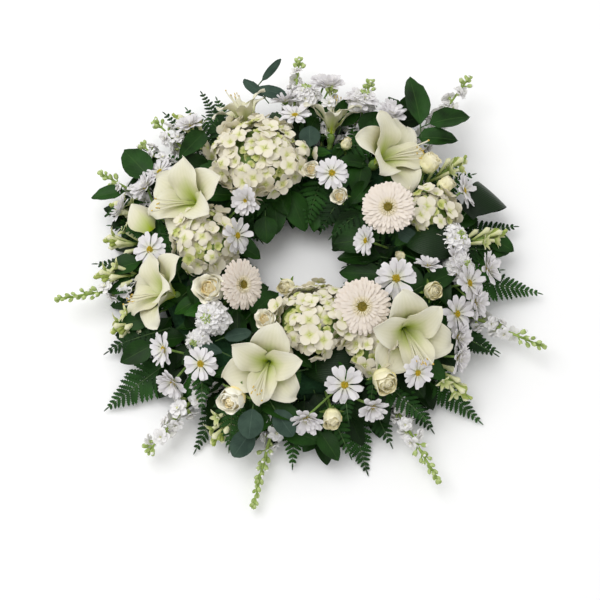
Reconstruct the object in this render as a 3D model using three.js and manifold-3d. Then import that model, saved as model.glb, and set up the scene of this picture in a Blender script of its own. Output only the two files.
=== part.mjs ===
// A white funeral wreath that lies flat on its tray.
//
// A ring of floral foam sits in a plastic tray.  Every flower, spike, frond and leafy twig is a stem
// of its own, pushed into a socket in the foam.  Millimetres, +Z up, the origin under the ring's axis
// on the surface that the tray rests on.
//
// Places round the ring are given the way a florist would lay it out: a clock angle in degrees
// (anticlockwise from +X), a distance from the ring's axis and a height above the table.

import * as THREE from 'three';
import { mergeVertices } from 'three/addons/utils/BufferGeometryUtils.js';
import Module from 'manifold-3d';

const wasm = await Module();
wasm.setup();

// ---------------------------------------------------------------- driving dimensions

const GAP = 0.35; // kept between neighbours that touch
const RING_SIDES = 24;
const STEM_SIDES = 6;

const TRAY = { inner: 148, outer: 232, height: 22, wall: 2, floor: 2.4, flare: 2 };
const FOAM = {
  inner: TRAY.inner + TRAY.wall + 0.5,
  outer: TRAY.outer - TRAY.wall - TRAY.flare - 0.5,
  bottom: TRAY.floor + GAP,
  top: 60,
  shoulder: 14,
};
const FOOT_HEIGHT = 22; // how deep upright stems are pushed in
const SIDE_FOOT = { radius: 208, height: 36 }; // where spikes and fronds enter the foam's side

const PETAL = 1.6; // thickness of petals
const LEAF = 1.4; // thickness of leaves and fronds
const FROND_START = 0.3; // share of a frond that is bare stalk

// Stem thickness, how far the bloom reaches behind its face, and who gives way to whom where two
// blooms press on each other: the lower rank keeps its shape.
const KINDS = {
  gerbera: { rank: 0, stem: 3, depth: 8, head: gerberaHead },
  rose: { rank: 1, stem: 2.5, depth: 0.42, head: roseHead },
  daisy: { rank: 2, stem: 1.8, depth: 5, head: daisyHead },
  amaryllis: { rank: 3, stem: 5, depth: 0.47, head: amaryllisHead },
  hydrangea: { rank: 4, stem: 4, depth: 0.12, head: hydrangeaHead },
};
const SPIKES = {
  tuberose: { rank: 5, stem: 2.6, bare: 0.96, dress: tuberoseBuds },
  stock: { rank: 6, stem: 3, bare: 0.35, dress: stockFlorets },
  leaf: { rank: 7, stem: 1.8, bare: 0.76, dress: leafBlades },
  fern: { rank: 8, stem: 1.8, bare: FROND_START + 0.02, dress: fernPinnae },
};

// The greenery under the flowers: a collar of overlapping leaves outside the ring and one inside,
// each joined to one piece.  root and tip are [distance, height]; notch is where two leaves part.
const COLLARS = {
  leaf_collar_outer: {
    leaves: 27,
    root: [FOAM.outer + 1, TRAY.height + 2],
    tip: [318, 6],
    notch: 0.55,
  },
  leaf_collar_inner: {
    leaves: 17,
    root: [FOAM.inner - 2, TRAY.height + 2],
    tip: [90, 50],
    notch: 0.5,
  },
};

// ---------------------------------------------------------------- the planting plan

// Flowers with faces.  foot: [clock, distance] where the stem enters the foam.
// blooms: [clock, distance, height, width, tilt from upright, heading of the tilt].
const FLOWERS = [
  { name: 'gerbera_1', kind: 'gerbera', foot: [21, 180], blooms: [[21, 149, 138, 86, 20, 250]] },
  { name: 'gerbera_2', kind: 'gerbera', foot: [315, 166], blooms: [[308, 153, 140, 88, 25, 270]] },
  { name: 'gerbera_3', kind: 'gerbera', foot: [214, 166], blooms: [[221, 116, 125, 80, 45, 335]] },

  { name: 'rose_1', kind: 'rose', foot: [206, 190], blooms: [[210, 161, 120, 54, 20, 220]] },
  { name: 'rose_2', kind: 'rose', foot: [244, 168], blooms: [[248, 141, 112, 35, 25, 200]] },
  {
    name: 'rose_spray_1',
    kind: 'rose',
    foot: [66, 172],
    blooms: [[82, 132, 125, 34, 30, 250], [53, 106, 118, 34, 35, 250]],
  },
  {
    name: 'rose_spray_2',
    kind: 'rose',
    foot: [32, 208],
    blooms: [[36, 273, 100, 40, 50, 40], [29, 278, 82, 32, 60, 30]],
  },
  { name: 'rose_3', kind: 'rose', foot: [340, 205], blooms: [[339, 223, 110, 38, 30, 300]] },
  { name: 'rose_4', kind: 'rose', foot: [248, 205], blooms: [[248, 275, 95, 50, 60, 242]] },
  { name: 'rose_5', kind: 'rose', foot: [299, 198], blooms: [[300, 260, 95, 46, 60, 295]] },
  { name: 'rose_6', kind: 'rose', foot: [280, 214], blooms: [[280, 283, 70, 36, 75, 272]] },

  { name: 'daisy_1', kind: 'daisy', foot: [70, 196], blooms: [[67, 131, 130, 56, 20, 260]] },
  { name: 'daisy_2', kind: 'daisy', foot: [180, 204], blooms: [[180, 239, 95, 58, 30, 220]] },
  { name: 'daisy_3', kind: 'daisy', foot: [346, 168], blooms: [[335, 163, 132, 66, 25, 280]] },
  { name: 'daisy_4', kind: 'daisy', foot: [8, 166], blooms: [[6, 105, 105, 52, 55, 190]] },
  { name: 'daisy_5', kind: 'daisy', foot: [20, 212], blooms: [[23, 295, 80, 62, 70, 15]] },
  {
    name: 'daisy_spray_1',
    kind: 'daisy',
    foot: [155, 168],
    blooms: [[140, 113, 125, 52, 45, 235], [170, 101, 110, 60, 55, 340]],
  },
  {
    name: 'daisy_spray_2',
    kind: 'daisy',
    foot: [226, 204],
    blooms: [[233, 250, 105, 54, 30, 250], [219, 270, 90, 58, 60, 200], [228, 292, 72, 56, 65, 240]],
  },
  {
    name: 'daisy_spray_3',
    kind: 'daisy',
    foot: [283, 206],
    blooms: [[286, 243, 105, 62, 45, 280], [272, 279, 80, 56, 65, 265], [293, 282, 78, 50, 60, 280]],
  },
  {
    name: 'daisy_spray_4',
    kind: 'daisy',
    foot: [318, 210],
    blooms: [[310, 277, 100, 52, 45, 310], [324, 302, 75, 52, 70, 330]],
  },
  {
    name: 'daisy_spray_5',
    kind: 'daisy',
    foot: [348, 208],
    blooms: [[348, 273, 90, 56, 45, 350], [336, 268, 88, 56, 45, 330], [350, 204, 108, 46, 40, 80]],
  },
  {
    name: 'daisy_spray_6',
    kind: 'daisy',
    foot: [65, 210],
    blooms: [[70, 305, 90, 60, 60, 75], [60, 313, 82, 50, 60, 50]],
  },
  {
    name: 'daisy_spray_7',
    kind: 'daisy',
    foot: [138, 212],
    blooms: [[147, 277, 85, 50, 60, 140], [127, 310, 75, 52, 60, 120]],
  },
  {
    name: 'daisy_spray_8',
    kind: 'daisy',
    foot: [89, 210],
    blooms: [[92, 245, 110, 54, 50, 100], [83, 335, 75, 50, 65, 85]],
  },

  { name: 'amaryllis_1', kind: 'amaryllis', foot: [108, 208], blooms: [[110, 288, 95, 118, 55, 115]] },
  { name: 'amaryllis_2', kind: 'amaryllis', foot: [77, 200], blooms: [[78, 268, 95, 118, 55, 85]] },
  { name: 'amaryllis_3', kind: 'amaryllis', foot: [52, 186], blooms: [[48, 227, 120, 135, 33, 0]] },
  { name: 'amaryllis_4', kind: 'amaryllis', foot: [325, 182], blooms: [[317, 232, 118, 138, 42, 290]] },
  { name: 'amaryllis_5', kind: 'amaryllis', foot: [258, 178], blooms: [[256, 219, 120, 130, 38, 255]] },
  { name: 'amaryllis_6', kind: 'amaryllis', foot: [194, 178], blooms: [[197, 240, 100, 118, 48, 182]] },
  { name: 'amaryllis_7', kind: 'amaryllis', foot: [150, 184], blooms: [[157, 202, 125, 135, 30, 200]] },

  { name: 'hydrangea_1', kind: 'hydrangea', foot: [112, 182], blooms: [[112, 187, 92, 150, 10, 110]] },
  { name: 'hydrangea_2', kind: 'hydrangea', foot: [172, 176], blooms: [[173, 152, 90, 102, 15, 340]] },
  { name: 'hydrangea_3', kind: 'hydrangea', foot: [280, 168], blooms: [[281, 128, 88, 125, 20, 90]] },
  { name: 'hydrangea_4', kind: 'hydrangea', foot: [13, 200], blooms: [[18, 224, 88, 85, 30, 350]] },
  { name: 'hydrangea_5', kind: 'hydrangea', foot: [303, 196], blooms: [[303, 203, 86, 76, 20, 270]] },
];

// Stems that lie outward.  foot and tip: [clock, distance, height]; size is the stem's dressed
// length for a spike, and the blade's width for a frond or a leaf.
const LOW_STEMS = [
  { name: 'stock_1', kind: 'stock', foot: 190, tip: [190, 400, 55] },
  { name: 'stock_2', kind: 'stock', foot: 156, tip: [154, 378, 60] },
  { name: 'stock_3', kind: 'stock', foot: 131, tip: [133, 368, 60] },
  { name: 'stock_4', kind: 'stock', foot: 94, tip: [90, 400, 62] },
  { name: 'stock_5', kind: 'stock', foot: 72, tip: [70, 364, 75] },
  { name: 'stock_6', kind: 'stock', foot: 46, tip: [50, 462, 70] },
  { name: 'stock_7', kind: 'stock', foot: 344, tip: [339, 418, 45] },
  { name: 'stock_8', kind: 'stock', foot: 304, tip: [300, 424, 35] },
  { name: 'stock_9', kind: 'stock', foot: 265, tip: [260, 408, 18] },
  { name: 'stock_10', kind: 'stock', foot: 236, tip: [234, 396, 40] },

  { name: 'tuberose_1', kind: 'tuberose', foot: 171, tip: [174, 326, 65] },
  { name: 'tuberose_2', kind: 'tuberose', foot: 184, tip: [186, 338, 70] },
  { name: 'tuberose_3', kind: 'tuberose', foot: 6, tip: [9, 352, 60] },
  { name: 'tuberose_4', kind: 'tuberose', foot: 322, tip: [318, 364, 50] },
  { name: 'tuberose_5', kind: 'tuberose', foot: 252, tip: [246, 340, 35] },

  { name: 'fern_1', kind: 'fern', foot: 118, tip: [114, 362, 45], width: 95 },
  { name: 'fern_2', kind: 'fern', foot: 219, tip: [218, 391, 16], width: 110 },
  { name: 'fern_3', kind: 'fern', foot: 356, tip: [354, 400, 30], width: 90 },
  { name: 'salal_twig_1', kind: 'leaf', foot: 56, tip: [58, 372, 60], width: 60 },
  { name: 'salal_twig_2', kind: 'leaf', foot: 145, tip: [148, 330, 55], width: 56 },
];

// ---------------------------------------------------------------- small geometry helpers

const radians = THREE.MathUtils.degToRad;

// The point at a clock angle, a distance from the axis and a height.
function at(clock, distance, height) {
  const turn = radians(clock);
  return new THREE.Vector3(distance * Math.cos(turn), distance * Math.sin(turn), height);
}

// The unit direction that leans by tilt from upright, towards heading.
function leaning(tilt, heading) {
  return at(heading, Math.sin(radians(tilt)), Math.cos(radians(tilt)));
}

// Stands a shape drawn along +Z at a point, with its +Z along direction and its X level.
function standing(point, direction) {
  const along = direction.clone().normalize();
  const level = new THREE.Vector3(0, 0, 1).cross(along);
  if (level.length() < 1e-3) level.set(1, 0, 0);
  level.normalize();
  const third = along.clone().cross(level);
  return new THREE.Matrix4().makeBasis(level, third, along).setPosition(point);
}

// A closed mesh as a solid: shared corners merged, no flat triangles, faces outward.
function solidOf(geometry) {
  const bare = new THREE.BufferGeometry();
  bare.setAttribute('position', geometry.getAttribute('position').clone());
  if (geometry.index) bare.setIndex(geometry.index.clone());
  const merged = mergeVertices(bare, 1e-3);
  const places = merged.getAttribute('position').array;
  const corners = merged.index.array;
  const kept = [];
  let volume = 0;
  const a = new THREE.Vector3();
  const b = new THREE.Vector3();
  const c = new THREE.Vector3();
  for (let i = 0; i < corners.length; i += 3) {
    const [p, q, r] = [corners[i], corners[i + 1], corners[i + 2]];
    if (p === q || q === r || r === p) continue;
    kept.push([p, q, r]);
    a.fromArray(places, 3 * p);
    b.fromArray(places, 3 * q);
    c.fromArray(places, 3 * r);
    volume += a.dot(b.cross(c));
  }
  const outward = volume > 0 ? kept : kept.map(([p, q, r]) => [p, r, q]);
  return new wasm.Manifold(
    new wasm.Mesh({
      numProp: 3,
      vertProperties: Float32Array.from(places),
      triVerts: Uint32Array.from(outward.flat()),
    }),
  );
}

// All of a list of geometries, moved by a matrix and joined.
function joined(geometries, matrix = new THREE.Matrix4()) {
  const solids = geometries.map((geometry) => solidOf(geometry.clone().applyMatrix4(matrix)));
  return solids.reduce((sum, next) => sum.add(next));
}

// A ring turned from a profile of [distance, height] corners, its first side starting on +X.
function turned(profile, sides = RING_SIDES) {
  const points = [...profile, profile[0]].map(([x, y]) => new THREE.Vector2(x, y));
  return new THREE.LatheGeometry(points, sides).rotateX(Math.PI / 2).rotateZ(Math.PI / 2);
}

// A solid of revolution whose profile starts and ends on the axis.
function spun(profile, sides) {
  const points = profile.map(([x, y]) => new THREE.Vector2(x, y));
  return new THREE.LatheGeometry(points, sides).rotateX(Math.PI / 2).rotateZ(Math.PI / 2);
}

// A flat disc or cone standing on +Z, from one height to another.
function drum(topRadius, bottomRadius, low, high, sides) {
  return new THREE.CylinderGeometry(topRadius, bottomRadius, high - low, sides)
    .rotateX(Math.PI / 2)
    .translate(0, 0, (high + low) / 2);
}

// A drum that keeps GAP clear of a round piece of the given radii and heights.
function roomAround(topRadius, bottomRadius, low, high, sides = 12) {
  const grown = (radius) => (radius + GAP) / Math.cos(Math.PI / sides);
  return drum(grown(topRadius), grown(bottomRadius), low - GAP, high + GAP, sides);
}

// A round stalk between two points.
function stalk(from, to, fromRadius, toRadius = fromRadius) {
  const span = to.clone().sub(from);
  return drum(toRadius, fromRadius, 0, span.length(), STEM_SIDES).applyMatrix4(standing(from, span));
}

// A plate of an outline, lying on the XY plane.
function plate(outline, thickness) {
  const shape = new THREE.Shape(outline.map(([x, y]) => new THREE.Vector2(x, y)));
  return new THREE.ExtrudeGeometry(shape, { depth: thickness, bevelEnabled: false, steps: 1 });
}

// Lifts every corner of a geometry by a rule of its own place.
function reshaped(geometry, rule) {
  const places = geometry.getAttribute('position');
  const corner = new THREE.Vector3();
  for (let i = 0; i < places.count; i += 1) {
    corner.fromBufferAttribute(places, i);
    rule(corner);
    places.setXYZ(i, corner.x, corner.y, corner.z);
  }
  return geometry;
}

// ---------------------------------------------------------------- flower heads
// Each head is drawn round +Z with its face at the origin.  It gives its pieces, and the plain
// room that it keeps clear of softer neighbours.

// A star of petals as one thin turned dish: every second corner of its rim falls back to a notch.
// middle lists the [distance, height] corners of the front, from the petals in to the axis.
function petalStar(radius, petals, notch, back, middle) {
  const star = spun([[0, back], [radius, -PETAL], [radius, 0], ...middle], 2 * petals);
  return reshaped(star, (corner) => {
    const out = Math.hypot(corner.x, corner.y);
    const onNotch = Math.cos(petals * Math.atan2(corner.y, corner.x)) < 0;
    if (out < 0.9 * radius || !onNotch) return;
    corner.x *= notch;
    corner.y *= notch;
  });
}

function daisyHead(width) {
  const radius = width / 2;
  return {
    pieces: [petalStar(radius, 8, 0.62, -6, [[0, 2]])],
    room: [roomAround(radius, radius, -6, 2)],
  };
}

function gerberaHead(width) {
  const radius = width / 2;
  return {
    pieces: [petalStar(radius, 13, 0.84, -9, [[0.3 * radius, -2], [0.2 * radius, 2], [0, 2]])],
    room: [roomAround(radius, radius, -9, 2, 16)],
  };
}

function roseHead(width) {
  const radius = width / 2;
  const bowl = [
    [0, -0.9],
    [0.55, -0.75],
    [1, -0.15],
    [0.85, 0.2],
    [0.5, 0.3],
    [0, 0.1],
  ];
  return {
    pieces: [spun(bowl.map(([x, y]) => [x * radius, y * radius]), 8)],
    room: [roomAround(radius, 0.85 * radius, -0.9 * radius, 0.3 * radius)],
  };
}

// A six-petalled trumpet: a thin bell whose rim runs out into pointed petals.
function amaryllisHead(width) {
  const radius = width / 2;
  const outside = [[0, -1], [0.16, -1], [0.42, -0.4], [1, -0.04]];
  const inside = [[1, 0], [0.38, -0.34], [0, -0.8]];
  const bell = [...outside, ...inside].map(([x, y]) => [x * radius, y * radius]);
  const trumpet = reshaped(spun(bell, 24), (corner) => {
    const out = Math.hypot(corner.x, corner.y);
    const petal = Math.abs(Math.cos(3 * Math.atan2(corner.y, corner.x)));
    const flare = Math.max(0, out / radius - 0.3);
    const reach = 1 - 0.6 * flare * (1 - petal);
    corner.x *= reach;
    corner.y *= reach;
  });
  return {
    pieces: [trumpet],
    room: [roomAround(radius, 0.3 * radius, -radius, 0)],
  };
}

// A domed mophead.
function hydrangeaHead(width) {
  const radius = width / 2;
  const squash = (scale) => (corner) => {
    corner.z *= corner.z > 0 ? 0.62 * scale : 0.4 * scale;
  };
  const lumpy = (corner) => {
    const swell = Math.sin((9 * corner.x) / radius) * Math.sin((9 * corner.y) / radius);
    corner.multiplyScalar(0.96 + 0.04 * swell);
    squash(1)(corner);
  };
  return {
    pieces: [reshaped(new THREE.IcosahedronGeometry(radius, 2), lumpy)],
    room: [reshaped(new THREE.IcosahedronGeometry(1.06 * radius + 1, 1), squash(1.06))],
  };
}

// ---------------------------------------------------------------- spikes, fronds and twigs
// Each is drawn along +Z from the foam (0) to its tip (length), with X level.

// Open florets on the lower part of the spike and ever smaller closed buds above them: one turned
// string of lumps, each pushed to a side of its own.
function stockFlorets(length) {
  const first = 0.28 * length;
  const last = 0.98 * length;
  const lumps = 8;
  const step = (last - first) / lumps;
  const radiusAt = (share) => (share < 0.55 ? 17 - 5 * share : 6.5 - 3 * share);
  const profile = [[0, first]];
  for (let i = 0; i < lumps; i += 1) {
    const radius = radiusAt(i / lumps);
    profile.push([radius, first + step * (i + 0.55)]);
    profile.push([0.45 * radius, first + step * (i + 1)]);
  }
  profile.push([0, last + 2]);
  const lean = 0.3;
  const spike = reshaped(spun(profile, STEM_SIDES), (corner) => {
    const share = (corner.z - first) / (last - first);
    const turn = 2.4 * Math.round(share * lumps - 0.55);
    const side = share > 0 && share < 1 ? lean * radiusAt(share) : 0;
    corner.x += side * Math.cos(turn);
    corner.y += side * Math.sin(turn);
  });
  return {
    pieces: [spike],
    room: [
      roomAround(19, 23, first, first + 0.6 * (last - first)),
      roomAround(8, 10, first + 0.6 * (last - first), last + 2),
    ],
  };
}

// Tube-shaped buds that stand off the spike and point to its tip.
function tuberoseBuds(length) {
  const pieces = [];
  const room = [];
  const buds = 4;
  for (let i = 0; i < buds; i += 1) {
    const share = i / (buds - 1);
    const start = length * (0.42 + 0.36 * share);
    const long = 44 - 18 * share;
    const turn = 2.4 * i;
    const lean = new THREE.Vector3(Math.cos(turn), Math.sin(turn), 1.9 + share);
    const place = standing(new THREE.Vector3(0, 0, start), lean);
    pieces.push(drum(5.4 - 1.2 * share, 0, -3, long, 5).applyMatrix4(place));
    room.push(roomAround(5.4, 3, -3, long, 6).applyMatrix4(place));
  }
  return { pieces, room };
}

// A blade whose outline is given on the XY plane, laid along +Z with its face up.
function laid(outline, thickness = LEAF) {
  return plate(outline, thickness)
    .translate(0, 0, -thickness / 2)
    .rotateX(Math.PI / 2);
}

// The room of a blade: a little thicker, and 1 mm larger round its outline.
function laidRoom(outline) {
  const grown = outline.map(([x, y]) => [x + Math.sign(x), y]);
  grown[0][1] -= 1;
  return laid(grown, LEAF + 2 * GAP);
}

// A tapering frond with a row of pointed fingers down each side.
function fernPinnae(length, width) {
  const fingers = 8;
  const start = FROND_START * length;
  const step = (length - start) / (fingers + 0.5);
  const right = [[2, start - 2]];
  for (let i = 0; i < fingers; i += 1) {
    const reach = (width / 2) * (1 - i / fingers) ** 0.8;
    right.push([reach, start + step * (i + 1.1)]);
    right.push([0.22 * reach + 1, start + step * (i + 0.9)]);
  }
  const mirrored = (points) => points.map(([x, y]) => [-x, y]).reverse();
  const edge = right.filter((point, i) => i < 2 || (i % 2 && i > 6));
  return {
    pieces: [laid([...right, [0, length], ...mirrored(right)])],
    room: [laidRoom([...edge, [0, length + 2], ...mirrored(edge)])],
  };
}

// Broad pointed leaves in turn along a twig, and one at its tip.
function leafBlades(length, width) {
  const half = [[0.4, 0.35], [0.34, 0.7]];
  const leaf = [[0, 0], ...half, [0, 1], ...half.map(([x, y]) => [-x, y]).reverse()];
  const blades = [
    { share: 0.36, turn: 62, long: width },
    { share: 0.46, turn: -62, long: width },
    { share: 0.66, turn: 48, long: 0.85 * width },
    { share: 0.7, turn: -50, long: 0.85 * width },
    { share: 0.74, turn: 0, long: 0.26 * length },
  ];
  const placed = (make) => blades.map(({ share, turn, long }) => {
    const outline = leaf.map(([x, y]) => [0.62 * long * x, long * y]);
    return make(outline).rotateY(radians(turn)).translate(0, 0, share * length);
  });
  return { pieces: placed((outline) => laid(outline)), room: placed(laidRoom) };
}

// ---------------------------------------------------------------- stems with their blooms

// A stem that carries one bloom, or forks to carry a few.
function flower({ name, kind, foot, blooms }) {
  const { rank, stem, depth, head } = KINDS[kind];
  const start = at(foot[0], foot[1], FOOT_HEIGHT);
  const heads = blooms.map(([clock, distance, height, width, tilt, heading]) => {
    const face = leaning(tilt, heading);
    const centre = at(clock, distance, height);
    const back = depth > 1 ? depth : depth * width;
    const neck = centre.clone().addScaledVector(face, -back);
    return { ...head(width), neck, matrix: standing(centre, face) };
  });
  const stalks = [];
  const channels = [];
  const link = (from, to, radius) => {
    stalks.push(stalk(from, to, radius));
    const along = to.clone().sub(from).normalize();
    channels.push(stalk(from.clone().addScaledVector(along, -1), to, radius + GAP));
  };
  let fork = start;
  if (heads.length > 1) {
    const middle = heads.reduce((sum, one) => sum.add(one.neck), new THREE.Vector3());
    fork = start.clone().lerp(middle.divideScalar(heads.length), 0.5);
    link(start, fork, stem);
  }
  heads.forEach(({ neck }) => link(fork, neck, stem));
  return {
    name,
    kind,
    rank,
    stalks: joined(stalks),
    channels: joined(channels),
    head: heads.map(({ pieces, matrix }) => joined(pieces, matrix)).reduce((sum, next) => sum.add(next)),
    rooms: heads.map(({ room, matrix }) => joined(room, matrix)),
  };
}

// A spike, frond or twig pushed into the foam's side.
function lowStem({ name, kind, foot, tip, width }) {
  const { rank, stem, bare, dress } = SPIKES[kind];
  const start = at(foot, SIDE_FOOT.radius, SIDE_FOOT.height);
  const end = at(...tip);
  const span = end.clone().sub(start);
  const { pieces, room } = dress(span.length(), width);
  const matrix = standing(start, span);
  const along = span.clone().normalize();
  const stalkEnd = start.clone().lerp(end, bare);
  return {
    name,
    kind,
    rank,
    stalks: joined([stalk(start, stalkEnd, stem, 0.45 * stem)]),
    channels: joined([
      stalk(start.clone().addScaledVector(along, -1), stalkEnd, stem + GAP, 0.45 * stem + GAP),
    ]),
    head: joined(pieces, matrix),
    rooms: room.map((geometry) => joined([geometry], matrix)),
  };
}

// ---------------------------------------------------------------- tray and foam

function trayRing() {
  const { inner, outer, height, wall, floor, flare } = TRAY;
  return turned([
    [inner, 0],
    [outer - flare, 0],
    [outer, height],
    [outer - wall, height],
    [outer - flare - wall, floor],
    [inner + wall, floor],
    [inner + wall, height],
    [inner, height],
  ]);
}

function foamRing(grow = 0) {
  const { inner, outer, bottom, top, shoulder } = FOAM;
  return turned([
    [inner - grow, bottom - grow],
    [outer + grow, bottom - grow],
    [outer + grow, top - shoulder],
    [outer - shoulder / 3 + grow, top - shoulder / 3 + grow],
    [outer - shoulder + grow, top + grow],
    [inner + shoulder - grow, top + grow],
    [inner + shoulder / 3 - grow, top - shoulder / 3 + grow],
    [inner - grow, top - shoulder],
  ]);
}

// A collar's leaves reach out from its root circle, some longer than others.
function leafCollar({ leaves, root, tip, notch }) {
  const thick = 1.5 * LEAF;
  const profile = [root, tip, [tip[0], tip[1] + thick], [root[0], root[1] + thick]];
  return reshaped(turned(profile, 2 * leaves), (corner) => {
    const out = Math.hypot(corner.x, corner.y);
    if (Math.abs(out - tip[0]) > 1) return;
    const turn = Math.atan2(corner.y, corner.x);
    const onNotch = Math.cos(leaves * turn) < 0;
    const reach = onNotch ? notch : 0.9 + 0.1 * Math.sin(5 * turn + 1);
    const distance = root[0] + (tip[0] - root[0]) * reach;
    corner.x *= distance / out;
    corner.y *= distance / out;
    corner.z += (root[1] - tip[1]) * (1 - reach);
  });
}

// ---------------------------------------------------------------- fitting the pieces together

function boxesMeet(first, second) {
  return [0, 1, 2].every((i) => first.min[i] < second.max[i] && second.min[i] < first.max[i]);
}

// Cuts only where the boxes meet, because most pieces are far apart.
function without(solid, tool) {
  if (solid.isEmpty() || !boxesMeet(solid.boundingBox(), tool.boundingBox())) return solid;
  return solid.subtract(tool);
}

// A cut can leave a loose crumb of a petal, which falls away.
function largestBody(solid) {
  const bodies = solid.decompose();
  return bodies.reduce((largest, next) => (next.volume() > largest.volume() ? next : largest));
}

const planted = [...FLOWERS.map(flower), ...LOW_STEMS.map(lowStem)];
const tray = solidOf(trayRing());
const foamRoom = solidOf(foamRing(GAP));

// A softer head gives way to every other stem, to the foam and tray, and to firmer heads.
function fitted(item, index) {
  let head = without(without(item.head, foamRoom), tray);
  planted.forEach((other, otherIndex) => {
    if (other === item) return;
    head = without(head, other.channels);
    const firmer = other.rank < item.rank || (other.rank === item.rank && otherIndex < index);
    if (firmer) other.rooms.forEach((room) => { head = without(head, room); });
  });
  return largestBody(item.stalks.add(head));
}

let foam = solidOf(foamRing());
planted.forEach((item) => { foam = without(foam, item.channels); });

// The collars are the softest of all: they give way to every stem and every head.
function fittedCollar(collar) {
  let blades = solidOf(leafCollar(collar));
  planted.forEach(({ channels, rooms }) => {
    [channels, ...rooms].forEach((room) => { blades = without(blades, room); });
  });
  return largestBody(blades);
}

// ---------------------------------------------------------------- the scene graph

const COLOURS = {
  tray: { color: 0x1d3a22, roughness: 0.5 },
  foam: { color: 0x3f6b35, roughness: 0.95 },
  gerbera: { color: 0xf2e6d8, roughness: 0.6 },
  rose: { color: 0xf3edc8, roughness: 0.6 },
  daisy: { color: 0xf4f2f4, roughness: 0.6 },
  amaryllis: { color: 0xeef0da, roughness: 0.45 },
  hydrangea: { color: 0xecead0, roughness: 0.7 },
  stock: { color: 0xeef0e4, roughness: 0.6 },
  tuberose: { color: 0xc4d08a, roughness: 0.5 },
  fern: { color: 0x1f4a26, roughness: 0.6 },
  leaf: { color: 0x23452a, roughness: 0.4 },
};

function mesh(name, solid, kind) {
  const { vertProperties, triVerts } = solid.getMesh();
  const geometry = new THREE.BufferGeometry();
  geometry.setAttribute('position', new THREE.BufferAttribute(Float32Array.from(vertProperties), 3));
  geometry.setIndex(new THREE.BufferAttribute(Uint32Array.from(triVerts), 1));
  geometry.computeVertexNormals();
  const material = new THREE.MeshStandardMaterial({ ...COLOURS[kind], metalness: 0 });
  const made = new THREE.Mesh(geometry, material);
  made.name = name;
  return made;
}

const group = new THREE.Group();
group.add(mesh('tray', tray, 'tray'));
group.add(mesh('foam_ring', foam, 'foam'));
Object.entries(COLLARS).forEach(([name, collar]) => group.add(mesh(name, fittedCollar(collar), 'leaf')));
planted.forEach((item, index) => group.add(mesh(item.name, fitted(item, index), item.kind)));

export default group;
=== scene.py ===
"""A white funeral wreath that lies flat: flowers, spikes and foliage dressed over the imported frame.

Each planted stem of the frame gets one piece with real petals, buds and leaves, which stands for
the plain solid.  The foliage under the flowers replaces the two leaf collars, and the tray and the
foam keep their solids.  Shapes are worked in millimetres and turn to metres as a piece is finished.
Places round the ring are a clock angle (degrees anticlockwise from +X), a distance from the ring's
axis and a height above the table.
"""
import logging
import math
import random
from collections.abc import Callable
from dataclasses import KW_ONLY, dataclass, field, replace
from enum import Enum
from functools import lru_cache, partial

import bmesh
import bpy
from mathutils import Matrix, Vector


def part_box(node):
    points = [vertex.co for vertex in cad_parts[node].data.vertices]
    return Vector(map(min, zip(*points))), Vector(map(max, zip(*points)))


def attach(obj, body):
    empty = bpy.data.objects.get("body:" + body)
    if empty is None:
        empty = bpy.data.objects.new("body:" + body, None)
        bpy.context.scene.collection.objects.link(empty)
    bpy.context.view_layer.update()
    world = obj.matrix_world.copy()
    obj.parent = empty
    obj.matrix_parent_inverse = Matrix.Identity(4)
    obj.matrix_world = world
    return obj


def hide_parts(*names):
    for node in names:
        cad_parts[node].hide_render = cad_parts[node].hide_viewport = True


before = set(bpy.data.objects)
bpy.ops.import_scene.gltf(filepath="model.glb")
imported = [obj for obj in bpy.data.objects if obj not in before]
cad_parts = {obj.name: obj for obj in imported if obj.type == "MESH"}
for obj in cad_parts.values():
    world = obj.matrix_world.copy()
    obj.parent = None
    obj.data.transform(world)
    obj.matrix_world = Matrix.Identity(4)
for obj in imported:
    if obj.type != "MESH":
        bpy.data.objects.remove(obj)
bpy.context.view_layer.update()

MM = 0.001
BODY = "root"
GOLDEN_ANGLE = 137.508
WAVE_PERIOD = 2 * math.pi / 20  # wave texture scale that gives one band across a unit

log = logging.getLogger("wreath")


# ---------------------------------------------------------------- places


def at(clock: float, distance: float, height: float) -> Vector:
    """Gives the point at a clock angle, a distance from the axis and a height."""
    turn = math.radians(clock)
    return Vector((distance * math.cos(turn), distance * math.sin(turn), height))


def leaning(tilt: float, heading: float) -> Vector:
    """Gives the unit direction that leans by tilt from upright, towards heading."""
    return at(heading, math.sin(math.radians(tilt)), math.cos(math.radians(tilt)))


def turned(degrees: float, axis: str) -> Matrix:
    """Gives a turn about one axis."""
    return Matrix.Rotation(math.radians(degrees), 4, axis)


def shifted(x: float, y: float, z: float) -> Matrix:
    """Gives a move."""
    return Matrix.Translation((x, y, z))


def standing(point: Vector, direction: Vector) -> Matrix:
    """Stands a shape that is drawn along +Z at a point.

    Args:
        point: where the shape's origin goes.
        direction: where its +Z points; its X stays level and its Y points up the slope.

    Returns:
        The matrix that places the shape.
    """
    along = direction.normalized()
    level = Vector((0, 0, 1)).cross(along)
    if level.length < 1e-3:
        level = Vector((1, 0, 0))
    level.normalize()
    columns = Matrix((level, along.cross(level), along)).transposed()
    return Matrix.Translation(point) @ columns.to_4x4()


def lying(point: Vector, heading: float, pitch: float = 0.0, roll: float = 0.0) -> Matrix:
    """Lays a blade that is drawn along +Y, face up.

    Args:
        point: where its foot goes.
        heading: the clock angle that it points to.
        pitch: degrees that its tip is lifted.
        roll: degrees that it is rolled about its length.

    Returns:
        The matrix that places the blade.
    """
    return Matrix.Translation(point) @ turned(heading - 90, "Z") @ turned(pitch, "X") @ turned(roll, "Y")


# From a stem drawn along +Z to a blade drawn along +Y with its face up the stem's slope.
LAID = turned(90, "X") @ turned(180, "Y")


# ---------------------------------------------------------------- colours and nodes


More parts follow.
